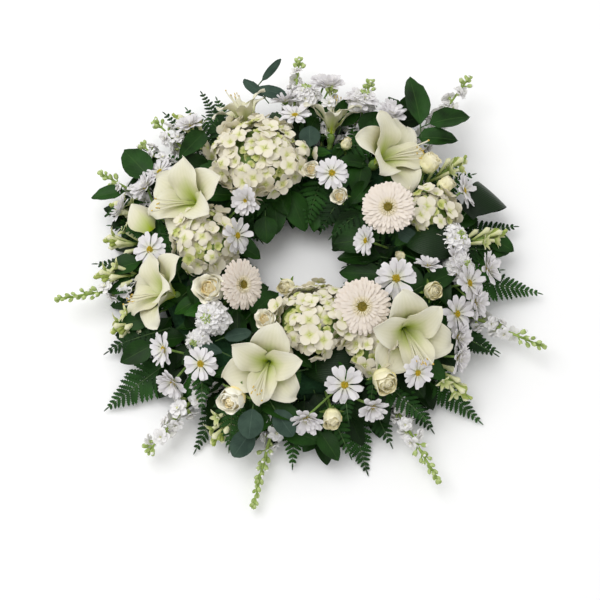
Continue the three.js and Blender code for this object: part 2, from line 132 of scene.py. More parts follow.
def linear(hex_colour: str) -> tuple[float, float, float, float]:
    """Turns an sRGB hex colour to linear light.

    Args:
        hex_colour: the colour, written as #rrggbb.

    Returns:
        Its linear red, green and blue, and a full alpha.
    """
    shares = [int(hex_colour[i : i + 2], 16) / 255 for i in (1, 3, 5)]
    light = [s / 12.92 if s <= 0.04045 else ((s + 0.055) / 1.055) ** 2.4 for s in shares]
    return (*light, 1.0)


def per_metre(size: float) -> float:
    """Gives a pattern's scale on Object coordinates from the real size of its features in mm."""
    return 1 / (size * MM)


def add_node(
    tree: bpy.types.NodeTree, kind: str, inputs: dict | None = None,
    stops: dict[float, str] | None = None, **settings: object,
) -> bpy.types.Node:
    """Adds a shader node with its settings and links.

    Args:
        tree: the material's node tree.
        kind: the node's type name, without its ShaderNode.
        inputs: a value, an output socket, or a node for its first output, by name or number.
        stops: the hex colours of a colour ramp, by position.
        settings: properties of the node.

    Returns:
        The new node.
    """
    node = tree.nodes.new(f"ShaderNode{kind}")
    for name, value in settings.items():
        setattr(node, name, value)
    for key, value in (inputs or {}).items():
        source = value.outputs[0] if isinstance(value, bpy.types.Node) else value
        if isinstance(source, bpy.types.NodeSocket):
            tree.links.new(source, node.inputs[key])
        else:
            node.inputs[key].default_value = source
    if stops:
        elements = node.color_ramp.elements
        while len(elements) < len(stops):
            elements.new(0.5)
        for element, (position, colour) in zip(elements, sorted(stops.items())):
            element.position = position
            element.color = linear(colour)
    return node


# ---------------------------------------------------------------- finishes

Adder = Callable[..., bpy.types.Node]  # add_node for one material
Paint = tuple[bpy.types.NodeSocket, bpy.types.Node]  # a colour and a relief


@dataclass(frozen=True)
class Finish:
    """A finish: a name, how rough the surface is and how much light soaks into it."""

    name: str
    roughness: float = 0.5
    _: KW_ONLY
    soak: float = 0.0
    soak_depth: float = 1.5
    shine: float = 0.3

    def material(self) -> bpy.types.Material:
        """Makes the material once, and gives the same one after that.

        Returns:
            The material.
        """
        made = bpy.data.materials.get(self.name)
        if made is not None:
            return made
        made = bpy.data.materials.new(self.name)
        made.use_nodes = True
        tree = made.node_tree
        tree.nodes.clear()
        colour, relief = self.paint(partial(add_node, tree))
        inputs = {"Base Color": colour, "Normal": relief, "Roughness": self.roughness}
        inputs["Specular IOR Level"] = self.shine
        if self.soak:
            inputs["Subsurface Weight"] = self.soak
            inputs["Subsurface Scale"] = self.soak_depth * MM
            inputs["Subsurface Radius"] = (1.0, 1.0, 0.8)
        shader = add_node(tree, "BsdfPrincipled", inputs)
        add_node(tree, "OutputMaterial", {"Surface": shader})
        return made

    def paint(self, add: Adder) -> Paint:
        """Gives the finish's colour and relief."""
        raise NotImplementedError


@dataclass(frozen=True)
class PetalFinish(Finish):
    """Fresh petal skin: matt and faintly see-through, so that it glows a little where it is thin.

    The colour runs from the petal's foot to its tip, and fine veins run along it.
    """

    foot: str = "#d9dda0"
    body: str = "#f2efe6"
    tip: str = "#f6f4ee"
    foot_share: float = 0.2
    streak: float = 0.0
    veins: int = 9
    vein_shade: float = 0.05
    vein_relief: float = 0.1
    patch: float = 14.0
    drift: float = 0.16
    soak: float = field(default=0.12, kw_only=True)

    def paint(self, add: Adder) -> Paint:
        """Gives the run of colour with its soft patches, and the veins.

        The foot's colour reaches further along the middle of the petal, by the streak.

        Args:
            add: adds a node to the material.

        Returns:
            The colour and the relief.
        """
        spot = add("TexCoord")
        uv = spot.outputs["UV"]
        share = add("SeparateXYZ", {0: uv})
        side = add("Math", {0: share, 1: 0.5}, operation="SUBTRACT")
        off_middle = add("Math", {0: side}, operation="ABSOLUTE")
        inputs = {0: off_middle, 1: self.streak, 2: share.outputs["Y"]}
        reach = add("Math", inputs, operation="MULTIPLY_ADD")
        inputs = {"Vector": spot.outputs["Object"], "Scale": per_metre(self.patch), "Detail": 2.0}
        patches = add("TexNoise", inputs)
        along = add("Math", {0: patches, 1: self.drift, 2: reach}, operation="MULTIPLY_ADD")
        lowered = add("Math", {0: along, 1: self.drift / 2}, operation="SUBTRACT")
        stops = {0.4 * self.foot_share: self.foot, 2.2 * self.foot_share: self.body, 1.0: self.tip}
        run = add("ValToRGB", {"Fac": lowered}, stops)
        inputs = {"Vector": uv, "Scale": self.veins * WAVE_PERIOD, "Distortion": 1.2, "Detail": 1.0}
        bands = add("TexWave", inputs, bands_direction="X").outputs["Fac"]
        strength = add("Math", {0: bands, 1: self.vein_shade}, operation="MULTIPLY")
        inputs = {0: strength, 6: run, 7: linear(self.foot)}
        shaded = add("Mix", inputs, data_type="RGBA", blend_type="MULTIPLY")
        inputs = {"Height": bands, "Strength": 0.5, "Distance": self.vein_relief * MM}
        return shaded.outputs[2], add("Bump", inputs, invert=True)


@dataclass(frozen=True)
class LeafFinish(Finish):
    """Leaf skin with a wax layer, so that it is dark and shines softly along its folds.

    A pale midrib and side veins are pressed into it.
    """

    dark: str = "#13270c"
    light: str = "#264419"
    rib: str = "#3e5c2a"
    rib_width: float = 0.03
    side_ribs: float = 8.0
    slant: float = -0.9
    rib_shade: float = 0.4
    relief: float = 0.4
    patch: float = 45.0
    shine: float = field(default=0.14, kw_only=True)

    def paint(self, add: Adder) -> Paint:
        """Gives the patches with the midrib and the side veins.

        Args:
            add: adds a node to the material.

        Returns:
            The colour and the relief.
        """
        spot = add("TexCoord")
        share = add("SeparateXYZ", {0: spot.outputs["UV"]})
        inputs = {"Vector": spot.outputs["Object"], "Scale": per_metre(self.patch), "Detail": 3.0}
        skin = add("ValToRGB", {"Fac": add("TexNoise", inputs)}, {0.3: self.dark, 0.7: self.light})
        side = add("Math", {0: share, 1: 0.5}, operation="SUBTRACT")
        off_rib = add("Math", {0: side}, operation="ABSOLUTE")
        midrib = add("MapRange", {0: off_rib, 1: 0.4 * self.rib_width, 2: self.rib_width, 3: 1.0, 4: 0.0})
        inputs = {0: off_rib, 1: self.slant, 2: share.outputs["Y"]}
        slanted = add("Math", inputs, operation="MULTIPLY_ADD")
        turns = add("Math", {0: slanted, 1: self.side_ribs * 2 * math.pi}, operation="MULTIPLY")
        wave = add("Math", {0: turns}, operation="SINE")
        side_rib = add("MapRange", {0: wave, 1: 0.86, 2: 1.0, 3: 0.0, 4: 0.3})
        ribs = add("Math", {0: midrib, 1: side_rib}, operation="MAXIMUM")
        shade = add("Math", {0: ribs, 1: self.rib_shade}, operation="MULTIPLY")
        coloured = add("Mix", {0: shade, 6: skin, 7: linear(self.rib)}, data_type="RGBA")
        inputs = {"Height": ribs, "Strength": 0.6, "Distance": self.relief * MM}
        return coloured.outputs[2], add("Bump", inputs, invert=True)


@dataclass(frozen=True)
class GrainFinish(Finish):
    """A skin of two colours that drift into each other over a fine grain, as on stems and buds."""

    first: str = "#6f8f45"
    second: str = "#93ad62"
    patch: float = 9.0
    grain: float = 0.8
    relief: float = 0.1

    def paint(self, add: Adder) -> Paint:
        """Gives the two colours and the grain.

        Args:
            add: adds a node to the material.

        Returns:
            The colour and the relief.
        """
        spot = add("TexCoord").outputs["Object"]
        patches = add("TexNoise", {"Vector": spot, "Scale": per_metre(self.patch), "Detail": 3.0})
        run = add("ValToRGB", {"Fac": patches}, {0.35: self.first, 0.65: self.second})
        grain = add("TexNoise", {"Vector": spot, "Scale": per_metre(self.grain), "Detail": 2.0})
        inputs = {"Height": grain, "Strength": 0.6, "Distance": self.relief * MM}
        return run.outputs[0], add("Bump", inputs)


class Skin(Enum):
    """The finishes of the wreath, each named for what it is and how it came about."""

    DAISY_PETAL = PetalFinish("daisy_petal_fresh", 0.62, "#d9d9c4", "#e2dfe0", "#e5e2e3", veins=5)
    GERBERA_PETAL = PetalFinish("gerbera_petal_fresh", 0.6, "#e5dab4", "#ebe0d2", "#ece1d6", veins=5)
    ROSE_PETAL = PetalFinish("rose_petal_fresh", 0.55, "#f6f2c4", "#fffbe4", "#fffcf0", 0.14)
    ROSE_HEART = PetalFinish("rose_heart_petal_fresh", 0.55, "#ffdd85", "#ffebaa", "#fff4cf")
    ROSE_BUD_PETAL = PetalFinish("rose_bud_petal_fresh", 0.55, "#e4e39c", "#f8f1c2", "#fbf4d6")
    AMARYLLIS_PETAL = PetalFinish(
        "amaryllis_petal_fresh", 0.5, "#a9bd22", "#dedabc", "#e1ddca", foot_share=0.27, streak=0.55,
        vein_relief=0.13, patch=30.0,
    )
    HYDRANGEA_CREAM = PetalFinish(
        "hydrangea_floret_ripe", 0.65, "#cbd080", "#e7e0c8", "#e8e1cf", foot_share=0.15,
        vein_shade=0.02, vein_relief=0.04,
    )
    HYDRANGEA_LIME = PetalFinish("hydrangea_floret_young", 0.65, "#9fb048", "#cccf84", "#dbdaa2", 0.19)
    STOCK_PETAL = PetalFinish("stock_floret_fresh", 0.65, "#d9deb2", "#f0eeec", "#f2f0f0", 0.1, veins=5)
    TUBEROSE_WAX = PetalFinish(
        "tuberose_bud_waxy", 0.42, "#8fa64a", "#d4d89a", "#e4e2c2", 0.22, veins=6, soak=0.3
    )
    SALAL = LeafFinish("salal_leaf_waxed", 0.4, "#0f2507", "#264d18")
    # A darker salal tone used at random; in the two lowest rings it stands in for painted shade.
    SALAL_DEEP = LeafFinish("salal_leaf_old", 0.42, "#091a05", "#16300c", "#2a4419")
    SALAL_YOUNG = LeafFinish("salal_leaf_young", 0.4, "#1a3e0e", "#33651f", "#5a7c36")
    FERN = LeafFinish(
        "leatherleaf_frond_cut", 0.5, "#14300e", "#2a5719", "#3a6128", side_ribs=5.0, relief=0.3
    )
    FERN_DEEP = LeafFinish(
        "leatherleaf_frond_shaded", 0.5, "#0c2408", "#1b3d11", "#294a1c", side_ribs=5.0, relief=0.3
    )
    EUCALYPTUS = LeafFinish(  # its pale bloom dulls it
        "eucalyptus_leaf_bloomed", 0.72, "#2a3d33", "#3b5043", "#52675a", rib_shade=0.3, relief=0.2,
        patch=18.0, shine=0.2,
    )
    ASPIDISTRA = PetalFinish(  # its parallel veins stand out
        "aspidistra_leaf_folded", 0.34, "#0b1f07", "#16310e", "#1b3a13", veins=20, vein_shade=0.5,
        vein_relief=0.5, soak=0.0, shine=0.2,
    )
    STEM = GrainFinish("green_stem_fresh", 0.5, "#5f8038", "#86a352")
    DARK_STEM = GrainFinish("woody_green_stem", 0.55, "#2f4a26", "#47632f")
    STOCK_STEM = GrainFinish("stock_stem_fresh", 0.55, "#7c9440", "#9db35e", 20.0)
    TUBEROSE_BUD = GrainFinish("tuberose_bud_green", 0.45, "#8a9c40", "#aeb965", 8.0, soak=0.1)
    CALYX = GrainFinish("calyx_fresh", 0.55, "#5d7b36", "#7f9a4c", 6.0, soak=0.1)
    STOCK_BUD = GrainFinish("stock_bud_downy", 0.75, "#8aa04e", "#c0cf8e", 6.0, soak=0.1)
    DAISY_EYE = GrainFinish("daisy_eye_pollen", 0.8, "#9c9220", "#d6b32c", 2.5, relief=0.3)
    GERBERA_EYE = GrainFinish("gerbera_eye_pollen", 0.8, "#75641f", "#ad963c", 3.0, relief=0.3)
    GERBERA_RIM = PetalFinish(
        "gerbera_inner_floret", 0.65, "#c7bf72", "#efe4c6", "#f3e8d6", veins=2, soak=0.0
    )
    ANTHER = GrainFinish("anther_pollen", 0.85, "#c9a545", "#e2c76c", 2.0, relief=0.2)
    FLORET_EYE = GrainFinish("hydrangea_eye", 0.6, "#c9cf86", "#e2dfb0", 4.0)
    # The tray is smooth with a soft sheen; the cut foam is open-celled and dead matt.
    TRAY = GrainFinish("polypropylene_moulded", 0.42, "#1b3a24", "#20422a", 60.0, 0.7)
    FOAM = GrainFinish("phenolic_foam_cut", 0.95, "#1c3d22", "#254a2b", 5.0, 0.6, 0.6)


# ---------------------------------------------------------------- the bench


@dataclass(frozen=True)
class Shape:
    """A mesh in millimetres with the skins that its faces' material numbers stand for."""

    mesh: bpy.types.Mesh
    skins: tuple[Skin, ...]

    def wearing(self, skin: Skin) -> "Shape":
        """Gives the same shape in one other skin."""
        return Shape(self.mesh, (skin,) * len(self.skins))


def begun() -> bmesh.types.BMesh:
    """Starts a mesh with a UV map.

    Returns:
        The empty mesh to work on.
    """
    bm = bmesh.new()
    bm.loops.layers.uv.new("UVMap")
    return bm


def ended(bm: bmesh.types.BMesh, name: str) -> bpy.types.Mesh:
    """Ends the work on a mesh.

    Args:
        bm: the work, which is freed.
        name: the mesh's name.

    Returns:
        The mesh.
    """
    mesh = bpy.data.meshes.new(name)
    bm.to_mesh(mesh)
    bm.free()
    return mesh


class Bench:
    """Gathers shapes in millimetres into one mesh."""

    table = 9.0  # tips lower than this lie on the table

    def __init__(self) -> None:
        """Starts an empty mesh."""
        self.bm = begun()
        self.skins: list[Skin] = []

    def number(self, skin: Skin) -> int:
        """Gives a skin's material number, and adds the skin if it is new.

        Args:
            skin: the skin to look up.

        Returns:
            Its place in the list of skins.
        """
        if skin not in self.skins:
            self.skins.append(skin)
        return self.skins.index(skin)

    def stamp(self, shape: Shape, place: Matrix) -> None:
        """Adds a copy of a shape.

        Args:
            shape: the shape to copy.
            place: where the copy goes.
        """
        copy = shape.mesh.copy()
        copy.transform(place)
        numbers = [0] * len(copy.polygons)
        copy.polygons.foreach_get("material_index", numbers)
        mine = [self.number(skin) for skin in shape.skins]
        copy.polygons.foreach_set("material_index", [mine[number] for number in numbers])
        self.bm.from_mesh(copy)
        bpy.data.meshes.remove(copy)

    def rod(self, points: list[Vector], radii: list[float], skin: Skin, sides: int = 7) -> None:
        """Adds a round stem along a few points.

        Args:
            points: the stem's path.
            radii: its radius at each point.
            skin: its skin.
            sides: how many sides it has.
        """
        number = self.number(skin)
        for start, end, low, high in zip(points, points[1:], radii, radii[1:]):
            span = end - start
            place = standing(start, span) @ shifted(0, 0, span.length / 2)
            made = bmesh.ops.create_cone(
                self.bm, cap_ends=True, segments=sides, radius1=low, radius2=high, depth=span.length,
                matrix=place, calc_uvs=True,
            )
            for face in {face for vert in made["verts"] for face in vert.link_faces}:
                face.material_index = number
                face.smooth = len(face.verts) == 4

    def shape(self) -> Shape:
        """Ends the work as a shape that other benches can stamp."""
        return Shape(ended(self.bm, "template"), tuple(self.skins))

    def rest(self) -> None:
        """Bends whatever hangs under the table's top up onto it, without pressing it flat."""
        for vert in self.bm.verts:
            if vert.co.z < self.table:
                vert.co.z = 1 + (self.table - 1) * math.exp((vert.co.z - self.table) / (self.table - 1))

    def deliver(self, name: str, slot: str, *nodes: str) -> None:
        """Ends the work as a finished piece of the wreath.

        Args:
            name: the piece's name.
            slot: not used.
            nodes: the CAD nodes that it stands for.
        """
        self.rest()
        bmesh.ops.scale(self.bm, vec=(MM, MM, MM), verts=self.bm.verts)
        mesh = ended(self.bm, name)
        for skin in self.skins:
            mesh.materials.append(skin.value.material())
        piece = bpy.data.objects.new(name, mesh)
        bpy.context.scene.collection.objects.link(piece)
        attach(piece, BODY)
        if nodes:
            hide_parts(*nodes)
        log.info("%s: %d faces", name, len(mesh.polygons))


# ---------------------------------------------------------------- petals, leaves and beads


def arc(length: float, bend: float, late: float, lip: float, share: float) -> tuple[float, float, float]:
    """Follows a line that starts along +Y and bends up.

    Args:
        length: the line's length.
        bend: degrees that it has turned at its end.
        late: the power that holds the bend back towards the end.
        lip: degrees more that its last fifth turns.
        share: how far along the line to go.

    Returns:
        The place's Y and Z, and the line's angle there in radians.
    """

    def angle(part: float) -> float:
        """Gives the line's angle in radians at a share of its length."""
        last = max(0.0, part - 0.8) / 0.2
        return math.radians(bend * part**late + lip * last)

    steps = 16
    y = z = 0.0
    for i in range(steps):
        middle = angle(share * (i + 0.5) / steps)
        y += math.cos(middle) * length * share / steps
        z += math.sin(middle) * length * share / steps
    return y, z, angle(share)


@dataclass(frozen=True)
class Blade:
    """A petal or a leaf: a sheet cut to an outline, bent along its length and cupped across it.

    It runs from its foot at the origin along +Y, with its face to +Z.  Lengths are in
    millimetres and angles in degrees.
    """

    length: float
    width: float
    cells: tuple[int, int] = (2, 4)
    foot: float = 0.2
    tip: float = 0.1
    widest: float = 0.5
    blunt: float = 0.6
    bend: float = 0.0
    late: float = 1.0
    lip: float = 0.0
    cup: float = 0.0
    cup_fade: float = 0.0
    fold: float = 0.0
    ruffle: float = 0.0
    waves: float = 3.0
    lobes: int = 0
    lobing: float = 0.0
    thickness: float = 0.5

    def half_width(self, share: float) -> float:
        """Gives half the blade's width.

        Args:
            share: how far along the blade.

        Returns:
            Half the width there, in mm.
        """
        power = math.log(0.5) / math.log(self.widest)
        swell = max(0.0, math.sin(math.pi * min(1.0, share) ** power)) ** self.blunt
        least = self.foot * (1 - share) + self.tip * share
        edge = max(swell, least)
        if self.lobes:
            edge *= 1 - self.lobing * (0.5 - 0.5 * math.cos(2 * math.pi * self.lobes * share))
        return 0.5 * self.width * edge

    def point(self, side: float, share: float) -> Vector:
        """Gives the place of a spot on the blade.

        Args:
            side: from -1 at the left edge to 1 at the right edge.
            share: from 0 at the foot to 1 at the tip.

        Returns:
            The place.
        """
        half = self.half_width(share)
        y, z, angle = arc(self.length, self.bend, self.late, self.lip, share)
        across, rise = side * half, 0.0
        opening = math.radians(self.cup) / 2 * (1 - self.cup_fade * share)
        if abs(opening) > 1e-3:
            radius = half / opening
            across = radius * math.sin(side * opening)
            rise = radius * (1 - math.cos(side * opening))
        rise += abs(side) * half * math.tan(math.radians(self.fold))
        rise += self.ruffle * side**2 * math.sin(2 * math.pi * self.waves * share + 1.3 * side)
        return Vector((across, y - rise * math.sin(angle), z + rise * math.cos(angle)))

    def mesh(self) -> bpy.types.Mesh:
        """Builds the blade as a closed sheet with crisp edges.

        Returns:
            The mesh.
        """
        bm = begun()
        across, along = self.cells
        bmesh.ops.create_grid(bm, x_segments=across, y_segments=along, size=0.5, calc_uvs=True)
        for vert in bm.verts:
            share = vert.co.y + 0.5
            if not self.lobes:  # rows closer to the tip, where the outline turns most
                share = 1 - max(0.0, 1 - share) ** 1.25
            vert.co = self.point(2 * vert.co.x, share)
        bmesh.ops.solidify(bm, geom=bm.faces[:], thickness=self.thickness)
        bm.normal_update()
        for face in bm.faces:
            face.smooth = True
        for edge in bm.edges:
            edge.smooth = edge.calc_face_angle(0.0) < math.radians(60)
        return ended(bm, "blade")

    def cut(self, skin: Skin) -> Shape:
        """Gives the blade in a skin, built only once."""
        return Shape(blade_mesh(self), (skin,))


@lru_cache(maxsize=None)
def blade_mesh(blade: Blade) -> bpy.types.Mesh:
    """Builds a blade's mesh, or gives the one that was built before."""
    return blade.mesh()


@lru_cache(maxsize=None)
def bead(length: float = 1.0, level: int = 1) -> bpy.types.Mesh:
    """Builds a bead of radius 1 on the origin.

    Args:
        length: how much longer than wide it is.
        level: how many times its faces are divided.

    Returns:
        The mesh.
    """
    bm = begun()
    bmesh.ops.create_icosphere(bm, subdivisions=level, radius=1.0, calc_uvs=True)
    bmesh.ops.scale(bm, vec=(1, 1, length), verts=bm.verts)
    for face in bm.faces:
        face.smooth = True
    return ended(bm, "bead")


@lru_cache(maxsize=None)
def spun(profile: tuple[tuple[float, float], ...], sides: int = 8) -> bpy.types.Mesh:
    """Turns a profile round +Z.

    Args:
        profile: [radius, height] corners from the lower end to the upper end.
        sides: how many sides the solid has.

    Returns:
        The mesh, closed at both ends.
    """
    bm = begun()
    uv = bm.loops.layers.uv.active
    corners = [bm.verts.new((radius, 0, height)) for radius, height in profile]
    edges = [bm.edges.new(pair) for pair in zip(corners, corners[1:])]
    bmesh.ops.spin(
        bm, geom=corners + edges, cent=(0, 0, 0), axis=(0, 0, 1), dvec=(0, 0, 0), angle=2 * math.pi,
        steps=sides, use_merge=True, use_duplicate=False,
    )
    bmesh.ops.remove_doubles(bm, verts=bm.verts, dist=1e-4)
    bmesh.ops.holes_fill(bm, edges=[edge for edge in bm.edges if edge.is_boundary])
    bmesh.ops.recalc_face_normals(bm, faces=bm.faces)
    low, high = profile[0][1], profile[-1][1]
    for face in bm.faces:
        face.smooth = True
        for loop in face.loops:
            place = loop.vert.co
            turn = math.atan2(place.y, place.x) / (2 * math.pi) + 0.5
            loop[uv].uv = (turn, (place.z - low) / (high - low))
    return ended(bm, "turned")


def wheel(
    bench: Bench, shapes: list[Shape], count: int, place: Matrix, rng: random.Random,
    radius: float = 0.0, lift: float = 0.0, height: float = 0.0, turn: float = 0.0, scatter: float = 4.0,
    size: float = 1.0,
) -> None:
    """Sets petals in a ring round +Z.

    Args:
        bench: where the petals are gathered.
        shapes: the petals to take in turn.
        count: how many there are.
        place: the flower's place.
        rng: the flower's own chance.
        radius: how far from the axis they start.
        lift: degrees that they are lifted from flat.
        height: how high they start.
        turn: degrees that the ring is turned.
        scatter: degrees that a petal may stray.
        size: their scale.
    """
    for i in range(count):
        around = 360 * i / count + turn + rng.uniform(-scatter, scatter)
        up = lift + rng.uniform(-scatter, scatter)
        twist = rng.uniform(-2 * scatter, 2 * scatter)
        petal = turned(around, "Z") @ shifted(0, radius, height) @ turned(up, "X") @ turned(twist, "Y")
        petal = petal @ Matrix.Scale(size * rng.uniform(0.94, 1.04), 4)
        bench.stamp(shapes[i % len(shapes)], place @ petal)


def dome_of_beads(
    bench: Bench, skin: Skin, count: int, radius: float, rise: float, size: float, place: Matrix
) -> None:
    """Packs small beads over a shallow dome, as in a daisy's eye.

    Args:
        bench: where the beads are gathered.
        skin: their skin.
        count: how many there are.
        radius: the dome's radius.
        rise: the dome's height.
        size: a bead's radius.
        place: the flower's place.
    """
    shape = Shape(bead(), (skin,))
    for i in range(count):
        share = (i + 0.5) / count
        out = radius * math.sqrt(share)
        turn = math.radians(GOLDEN_ANGLE * i)
        spot = shifted(out * math.cos(turn), out * math.sin(turn), rise * (1 - share))
        bench.stamp(shape, place @ spot @ Matrix.Scale(size, 4))


# ---------------------------------------------------------------- flower heads
# Each head is drawn round +Z with its face at the origin, at a nominal width, and is scaled.


@dataclass(frozen=True)
class DaisyHead:
    """A spray chrysanthemum: two loose rings of blunt white rays round a green-yellow eye."""

    width: float = 56.0
    ray: Blade = Blade(
        24, 10.4, (2, 5), foot=0.3, tip=0.55, widest=0.72, blunt=0.55, bend=-14, cup=40, cup_fade=0.6
    )
    eye: float = 5.8
    outer_rays: int = 13
    inner_rays: int = 9

    def dress(self, bench: Bench, place: Matrix, shut: float, rng: random.Random) -> None:
        """Adds the rays, the eye and the green cup behind them.

        Args:
            bench: where the parts are gathered.
            place: the flower's place and scale.
            shut: from 0 for a flat flower to 1 for one that is half closed.
            rng: the flower's own chance.
        """
        narrow = replace(self.ray, bend=8, cup=55, width=9.4)
        rays = [self.ray, replace(self.ray, bend=-32, cup=30), narrow]
        shapes = [ray.cut(Skin.DAISY_PETAL) for ray in rays]
        close = 50 * shut
        wheel(bench, shapes, self.outer_rays, place, rng, 4.0, 4 + close, -1.0, scatter=6)
        wheel(bench, shapes, self.inner_rays, place, rng, 3.5, 14 + close, 0.2, 11, 8, 0.9)
        if shut > 0.3:
            wheel(bench, shapes, self.inner_rays, place, rng, 2.5, 34 + close, 0.5, 5, 9, 0.75)
        dome_of_beads(bench, Skin.DAISY_EYE, 44, self.eye, 2.2, 0.95, place)
        cup = spun(((0, -6.5), (2.4, -6.5), (5.6, -3.0), (6.2, -0.4), (0, 0.3)), 8)
        bench.stamp(Shape(cup, (Skin.CALYX,)), place)


@dataclass(frozen=True)
class GerberaHead:
    """A gerbera: three close rings of narrow cream rays round a ring of florets and an olive eye."""

    width: float = 86.0
    ray: Blade = Blade(
        32, 8.6, (2, 6), foot=0.55, tip=0.4, widest=0.66, blunt=0.42, bend=-10, cup=24, cup_fade=0.5
    )
    floret: Blade = Blade(7.0, 1.9, (1, 3), foot=0.8, tip=0.4, blunt=0.4, bend=-35, thickness=0.4)
    rings: tuple[tuple[int, float, float, float, float], ...] = (
        (33, 11.0, 1.0, -2.2, 1.0), (32, 10.0, 5.0, -1.2, 0.95), (30, 9.5, 9.0, -0.4, 0.78),
        (26, 9.0, 14.0, 0.2, 0.5),
    )

    def dress(self, bench: Bench, place: Matrix, shut: float, rng: random.Random) -> None:
        """Adds the rings of rays, the inner florets, the eye and the cup behind them.

        Args:
            bench: where the parts are gathered.
            place: the flower's place and scale.
            shut: how far the rays are closed, from 0 to 1.
            rng: the flower's own chance.
        """
        rays = [self.ray, replace(self.ray, bend=-18, cup=34), replace(self.ray, bend=-4, width=8.0)]
        shapes = [ray.cut(Skin.GERBERA_PETAL) for ray in rays]
        for count, radius, lift, height, size in self.rings:
            wheel(bench, shapes, count, place, rng, radius, lift + 40 * shut, height, 3 * count, 2.5, size)
        floret = [self.floret.cut(Skin.GERBERA_RIM)]
        wheel(bench, floret, 30, place, rng, 8.2, 48, 0.2, 0, 5)
        wheel(bench, floret, 24, place, rng, 6.6, 62, 0.8, 5, 5, 0.8)
        dome_of_beads(bench, Skin.GERBERA_EYE, 90, 8.4, 2.6, 0.85, place)
        cup = spun(((0, -10), (3.4, -10), (9.5, -5), (12, -2.2), (0, 0.6)), 12)
        bench.stamp(Shape(cup, (Skin.CALYX,)), place)


@dataclass(frozen=True)
class RoseHead:
    """A half-open rose: petals wound in a spiral, tight round the heart and loose at the rim."""

    width: float = 46.0
    petals: int = 20
    turn: float = 139.0

    def petal(self, share: float, shut: float) -> Blade:
        """Gives a petal.

        Args:
            share: from 0 at the heart of the spiral to 1 at its rim.
            shut: how far the rose is still a bud, which keeps the petals' lips straight.

        Returns:
            The petal.
        """
        radius = self.width / 2
        return Blade(
            length=(1.3 + 0.12 * share) * radius, width=(0.75 + 1.15 * share) * radius, cells=(6, 8),
            foot=0.34, tip=0.3, widest=0.6, blunt=0.45, bend=44 + 16 * share, late=0.6,
            lip=(-12 - 58 * share**2) * (1 - 0.8 * shut), cup=190 - 60 * share, ruffle=0.3 + 0.7 * share,
            waves=1.3, thickness=0.6,
        )

    def dress(self, bench: Bench, place: Matrix, shut: float, rng: random.Random) -> None:
        """Adds the spiral of petals, its close heart, and the green hip with its sepals.

        Args:
            bench: where the parts are gathered.
            place: the flower's place and scale.
            shut: from 0 for a half-open rose to 1 for a bud.
            rng: the flower's own chance.
        """
        radius = self.width / 2
        outside, inside = Skin.ROSE_PETAL, Skin.ROSE_HEART
        if shut > 0.3:
            outside = inside = Skin.ROSE_BUD_PETAL
        for i in range(self.petals):
            share = i / (self.petals - 1)
            step = round(6 * share * (1 - 0.35 * shut)) / 6
            skin = inside if share < 0.5 else outside
            lean = 66 - 45 * share ** (1 + 0.5 * shut) * (1 - 0.62 * shut) + rng.uniform(-2, 2)
            start = 0.1 * share * radius
            sink = (0.9 + 0.12 * share * (1 - shut)) * radius
            petal = turned(self.turn * i + rng.uniform(-8, 8), "Z") @ shifted(0, start, -sink)
            bench.stamp(self.petal(step, shut).cut(skin), place @ petal @ turned(lean, "X"))
        heart = spun(((0, -20), (11, -17), (14, -9), (10.5, -1.5), (5, 2.8), (0, 4.4)), 12)
        bench.stamp(Shape(heart, (inside,)), place)
        hip = spun(((0, -28), (2.2, -27), (5.2, -24), (6.0, -21), (0, -17)), 8)
        bench.stamp(Shape(hip, (Skin.CALYX,)), place)
        sepal = Blade(19, 5.5, (2, 5), foot=0.8, tip=0.08, widest=0.3, bend=-30, cup=40)
        wheel(bench, [sepal.cut(Skin.CALYX)], 5, place, rng, 4.5, 38 + 25 * shut, -22)


